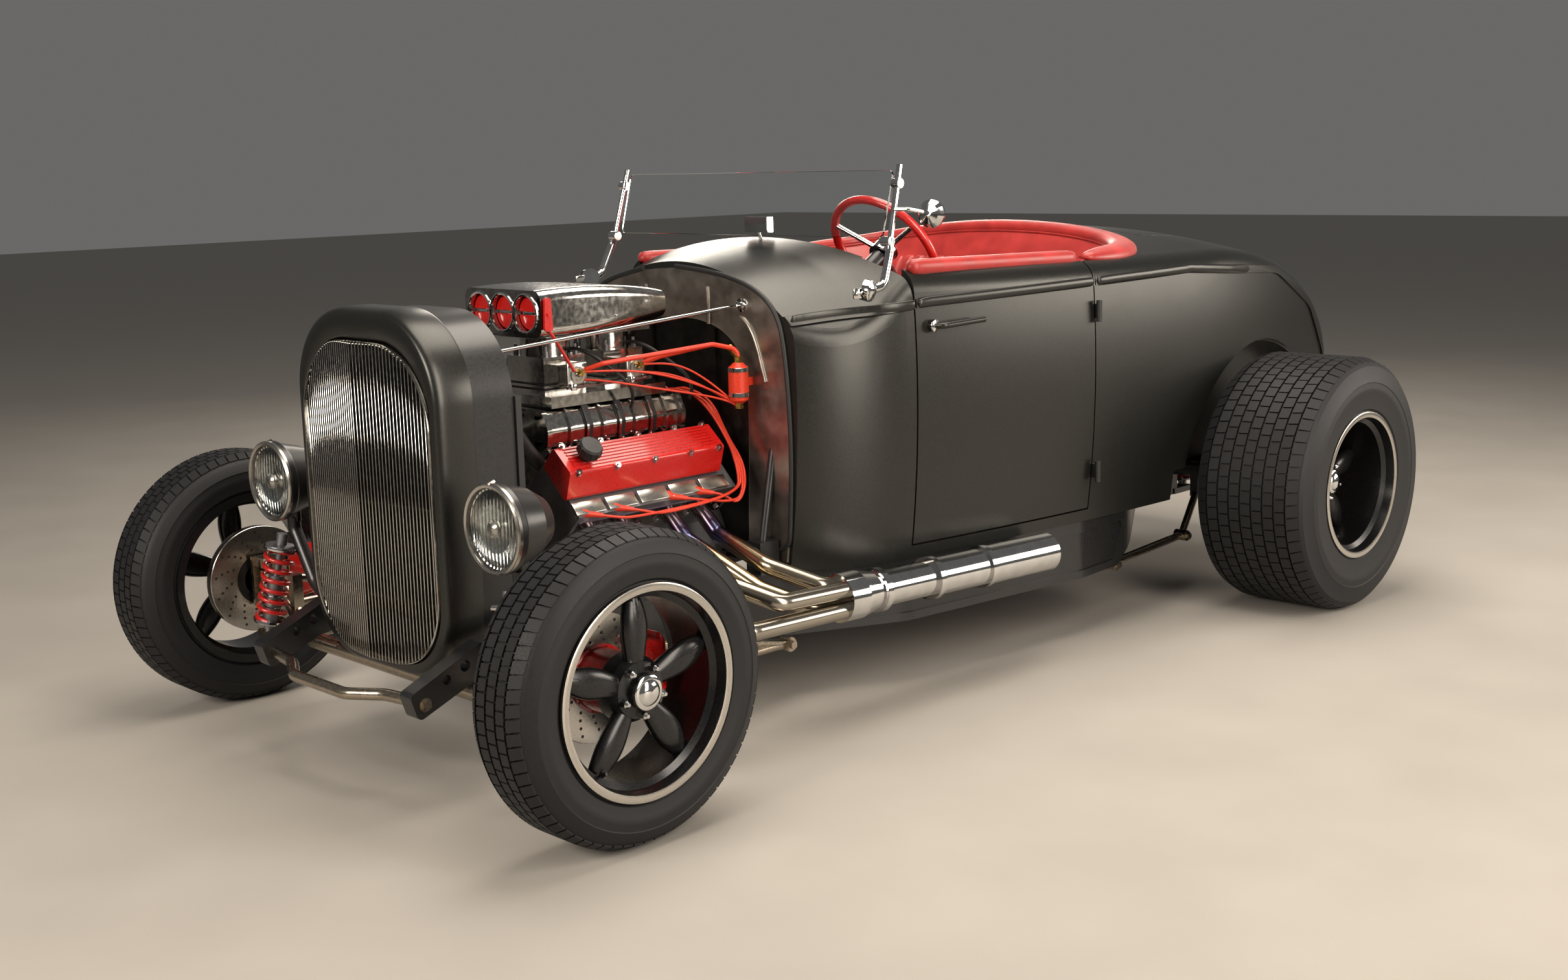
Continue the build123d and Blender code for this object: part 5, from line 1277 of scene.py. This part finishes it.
def dressCalipers():
    caliper = {"blocks": ((-0.0398, -0.018, 0.50), (0.018, 0.0398, 0.50), (-0.0398, 0.0398, 1.075)),
               "pastDisc": 0.0275, "half": 0.0755, "backHalf": 0.0535, "edge": 0.0075, "pistonFace": 0.039,
               "pistonZ": (-0.030, 0.030), "pistonReach": 0.84}
    axles = (("front", "knuckle_", 0.704, car["frontAxleY"], car["frontHubZ"], 0.140),
             ("rear", None, 0.742, car["rearAxleY"], car["rearHubZ"], 0.152))
    for label, knuckle, discX, y, z, radius in axles:
        back = y + radius + caliper["pastDisc"]
        for sideName, side in carSides:
            mesh = bmesh.new()
            for low, high, near in caliper["blocks"]:
                outline = ((y + radius * near, z - caliper["half"]), (back, z - caliper["backHalf"]),
                           (back, z + caliper["backHalf"]), (y + radius * near, z + caliper["half"]))
                corners = [mesh.verts.new((side * (discX + low), *point)) for point in outline]
                face = mesh.faces.new(corners)
                moved = vertsIn(bmesh.ops.extrude_face_region(mesh, geom=[face])["geom"])
                bmesh.ops.translate(mesh, vec=(side * (high - low), 0, 0), verts=moved)
                roundEdges(mesh, corners + moved, caliper["edge"], 3)
            for dz in caliper["pistonZ"]:
                spot = (side * (discX + caliper["pistonFace"]), y + radius * caliper["pistonReach"], z + dz)
                addTurned(mesh, [(0.0, 0.0165), (0.003, 0.016), (0.004, 0.012), (0.002, 0.010),
                                 (0.002, 0.0)], spot,
                          (side, 0, 0), 24)
            carrier = knuckle + sideName if knuckle else "body"
            makePiece(f"{label}Caliper{sideName.capitalize()}", mesh, "red", carrier)


def dressSprings():
    # A dished seat at each end of a spring, and adjuster rings on the damper's body
    seat = {"inset": 0.018, "rings": 6, "firstRing": 0.050, "ringPitch": 0.010}
    caps = bmesh.new()
    for foot, top in damperEyes:
        foot, top = Vector(foot), Vector(top)
        line, length = (top - foot).normalized(), (top - foot).length
        for place, facing in ((seat["inset"], line), (length - seat["inset"], -line)):
            addTurned(caps, [(0.0, 0.012), (0.0, 0.041), (0.003, 0.043), (0.008, 0.042), (0.009, 0.024),
                             (0.009, 0.012), (0.0, 0.012)], foot + line * place, facing, 36)
        for step in range(seat["rings"]):
            addTurned(caps, [(-0.002, 0.0205), (-0.001, 0.0225), (0.001, 0.0225), (0.002, 0.0205)],
                      foot + line * (seat["firstRing"] + seat["ringPitch"] * step), line, 28)
    bothSides(caps)
    makePiece("springSeats", caps, "chrome", "body")


def dressPostFeet():
    foot = {"centre": (0.5575, aft(1.046), 1.064), "axis": (1, 0.25, -0.2), "plateX": 0.552,
            "screwsAft": (1.004, 1.022), "screwZ": 1.061}
    feet = bmesh.new()
    addTurned(feet, [(-0.004, 0.027), (0.003, 0.026), (0.005, 0.020), (0.009, 0.014), (0.010, 0.0)],
              foot["centre"], foot["axis"], 32)
    addBlock(feet, (0.545, aft(0.992), 1.048), (foot["plateX"], aft(1.046), 1.074), 0.003, 2)
    for place in foot["screwsAft"]:
        addTurned(feet, [(0.0, 0.006), (0.003, 0.005), (0.004, 0.0)],
                  (foot["plateX"], aft(place), foot["screwZ"]), (1, 0, 0), 16)
    bothSides(feet)
    makePiece("postFeet", feet, "chrome", "body")


def dressFuelLines():
    # Four feeds from the carburettors' inlets that meet at the filter
    feed = {"inlets": ((0.450, 0.893), (0.640, 0.893), (0.470, 0.872), (0.660, 0.872)), "radius": 0.0027,
            "bends": ((0.205, 0.62, 0.900), (0.190, 0.74, 0.905), (0.215, 0.64, 0.835), (0.200, 0.76, 0.850))}
    for index, ((inletAft, z), (bendX, bendAft, bendZ)) in enumerate(zip(feed["inlets"], feed["bends"])):
        points = [(0.126, aft(inletAft), z), (0.158, aft(inletAft + 0.03), z), (bendX, aft(bendAft), bendZ),
                  (0.262, aft(0.825), 0.806 - 0.004 * index), (0.275, aft(0.842), 0.776)]
        addHose("feedLine" + str(index), points, feed["radius"], "lead", 4)


# Belt moulding and wheel spokes


def surfaceOf(nodeName):
    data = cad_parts[nodeName].data
    places = [vert.co.copy() for vert in data.vertices]
    return BVHTree.FromPolygons(places, [tuple(face.vertices) for face in data.polygons])


def beltHeight(y):
    line = ((0.880, 0.992), (1.250, 1.024), (2.350, 1.046), (2.900, 1.010))
    place = y - aft(0)
    for (fromY, fromZ), (toY, toZ) in zip(line, line[1:]):
        if place <= toY:
            return fromZ + (toZ - fromZ) * (place - fromY) / (toY - fromY)
    return line[-1][1]


def buildBelt():
    # Half-round moulding along the body's waist, one length on each panel it crosses
    belt = {"half": 0.0135, "proud": 0.0075, "rayFrom": 1.2}
    runs = (("cowl", "body", (1, -1), 0.906, 1.2055), ("door_left", "door_left", (1,), 1.2135, 1.8885),
            ("door_right", "door_right", (-1,), 1.2135, 1.8885),
            ("rear_body", "body", (1, -1), 1.8965, 2.700))
    for node, body, sides, start, finish in runs:
        surface = surfaceOf(node)
        mesh = bmesh.new()
        for side in sides:

            def beltPoint(s, turn):
                out, up = squared(turn, 2.2)
                end = endRound(s, 40)
                y = aft(start + (finish - start) * (s + 1) / 2)
                level = Vector((side * belt["rayFrom"], y, beltHeight(y)))
                spot, normal = surface.ray_cast(level, Vector((-side, 0, 0)))[:2]
                taper = clamped((finish - start) * (1 - s) * 4) if node == "rear_body" else 1
                swell = normal * (belt["proud"] * out * end * taper)
                return spot + swell + Vector((0, 0, belt["half"] * up * end))

            addPad(mesh, 90, 16, beltPoint)
        makePiece("beltMoulding" + node.title().replace("_", ""), mesh, "satin", body, 50)


def buildSpokes(name, side, sizes):
    # Petal spokes: slim at the hub, widest past the middle, slim again at the barrel
    petal = {"count": 5, "foot": 0.042, "short": 0.030, "half": 0.0215, "widen": 0.0135, "narrow": 0.003,
             "depth": 0.0172, "deepen": 0.0022, "thin": 0.004, "behindHub": 0.031, "arch": 0.006}
    mesh = bmesh.new()
    centre, out = Vector((side * sizes["centreX"], sizes["axleY"], sizes["hubZ"])), Vector((side, 0, 0))
    length = sizes["flange"] - petal["short"] - petal["foot"]
    for index in range(petal["count"]):
        angle = math.radians(90 + 360 / petal["count"] * index)
        radial, across = roundAxle(angle), roundAxle(angle + math.pi / 2)

        def spokePoint(s, turn):
            wide, thick = squared(turn, 2.15)
            share = (s + 1) / 2
            end = endRound(s, 30)
            bulge = math.sin(math.pi * share ** 1.25)
            half = (petal["half"] + petal["widen"] * bulge - petal["narrow"] * share) * end
            depth = (petal["depth"] + petal["deepen"] * bulge - petal["thin"] * share) * end
            level = sizes["hubFace"] - petal["behindHub"] + petal["arch"] * bulge
            reach = petal["foot"] + length * share
            return centre + radial * reach + across * wide * half + out * (level + thick * depth)

        addPad(mesh, 28, 20, spokePoint)
    makePiece(name + "Spokes", mesh, "gunmetal", name, 60)


buildBelt()
for sideName, side in carSides:
    buildSpokes("wheel_front_" + sideName, side, frontWheel)
    buildSpokes("wheel_rear_" + sideName, side, rearWheel)
buildIgnition()
dressHeads()
dressCalipers()
dressSprings()
dressPostFeet()
dressFuelLines()
print("details added")


# Stage: pale floor, soft light and the photograph's camera

def buildStage():
    stage = {"floorHalf": 30.0, "floorColours": ("#9c9790", "#a19c95"), "worldColour": "#c4c2bf",
             "worldStrength": 0.26, "lightColour": "#fff4e6"}
    mesh = bmesh.new()
    bmesh.ops.create_grid(mesh, x_segments=1, y_segments=1, size=stage["floorHalf"])
    data = bpy.data.meshes.new("floor")
    mesh.to_mesh(data)
    mesh.free()
    floor = bpy.data.objects.new("floor", data)
    bpy.context.scene.collection.objects.link(floor)
    material, tree, shader, place = startMaterial("studioFloor", Specular_IOR_Level=0.3)
    mottle(tree, shader, place, stage["floorColours"], (0.55, 0.62), 0.4, 0)
    data.materials.append(material)
    world = bpy.data.worlds.new("studio")
    bpy.context.scene.world = world
    world.use_nodes = True
    background = world.node_tree.nodes["Background"]
    background.inputs["Color"].default_value = linear(stage["worldColour"])
    background.inputs["Strength"].default_value = stage["worldStrength"]
    # Each light: where it stands, what it faces, its size in metres and its power in watts
    lights = {"overhead": ((0.3, 0.2, 4.2), (0.0, 0.1, 0.5), (4.6, 2.4), 230),
              "leftBank": ((4.6, -0.8, 2.4), (0.4, 0.1, 0.6), (1.6, 4.2), 230),
              "frontBank": ((0.6, -5.6, 2.6), (0, -1.6, 0.6), (2.6, 1.4), 210),
              "backBank": ((-3.8, 3.6, 2.8), (0, 0.6, 0.8), (3.0, 1.6), 120),
              "sideBank": ((3.6, 3.4, 1.7), (0.6, 0.1, 0.7), (2.8, 1.5), 130)}
    for name, (spot, aim, size, power) in lights.items():
        lamp = bpy.data.lights.new(name, "AREA")
        lamp.shape = "RECTANGLE"
        lamp.size, lamp.size_y = size
        lamp.energy = power
        lamp.color = linear(stage["lightColour"])[:3]
        holder = bpy.data.objects.new(name, lamp)
        bpy.context.scene.collection.objects.link(holder)
        holder.location = spot
        holder.rotation_euler = (Vector(aim) - Vector(spot)).to_track_quat("-Z", "Y").to_euler()


def buildCamera():
    # Fitted to both axles, the wheels and the track in the photograph
    view = {"place": (3.5059, -3.8253, 1.3935), "yaw": 44.9372, "pitch": -10.6579, "roll": -1.3873,
            "lens": 40.333, "sensor": 36.0, "farthest": 200.0}
    yaw, pitch, roll = (math.radians(view[key]) for key in ("yaw", "pitch", "roll"))
    forward = Vector((-math.sin(yaw) * math.cos(pitch), math.cos(yaw) * math.cos(pitch), math.sin(pitch)))
    right = Vector((math.cos(yaw), math.sin(yaw), 0))
    above = right.cross(forward)
    rightTurned = right * math.cos(roll) + above * math.sin(roll)
    aboveTurned = above * math.cos(roll) - right * math.sin(roll)
    data = bpy.data.cameras.new("photoCamera")
    data.lens = view["lens"]
    data.sensor_width = view["sensor"]
    data.sensor_fit = "HORIZONTAL"
    data.clip_end = view["farthest"]
    camera = bpy.data.objects.new("photoCamera", data)
    bpy.context.scene.collection.objects.link(camera)
    turn = Matrix((rightTurned, aboveTurned, -forward)).transposed()
    camera.matrix_world = Matrix.Translation(Vector(view["place"])) @ turn.to_4x4()
    bpy.context.scene.camera = camera


buildStage()
buildCamera()
bpy.context.scene.view_settings.view_transform = "Standard"
print("stage set")
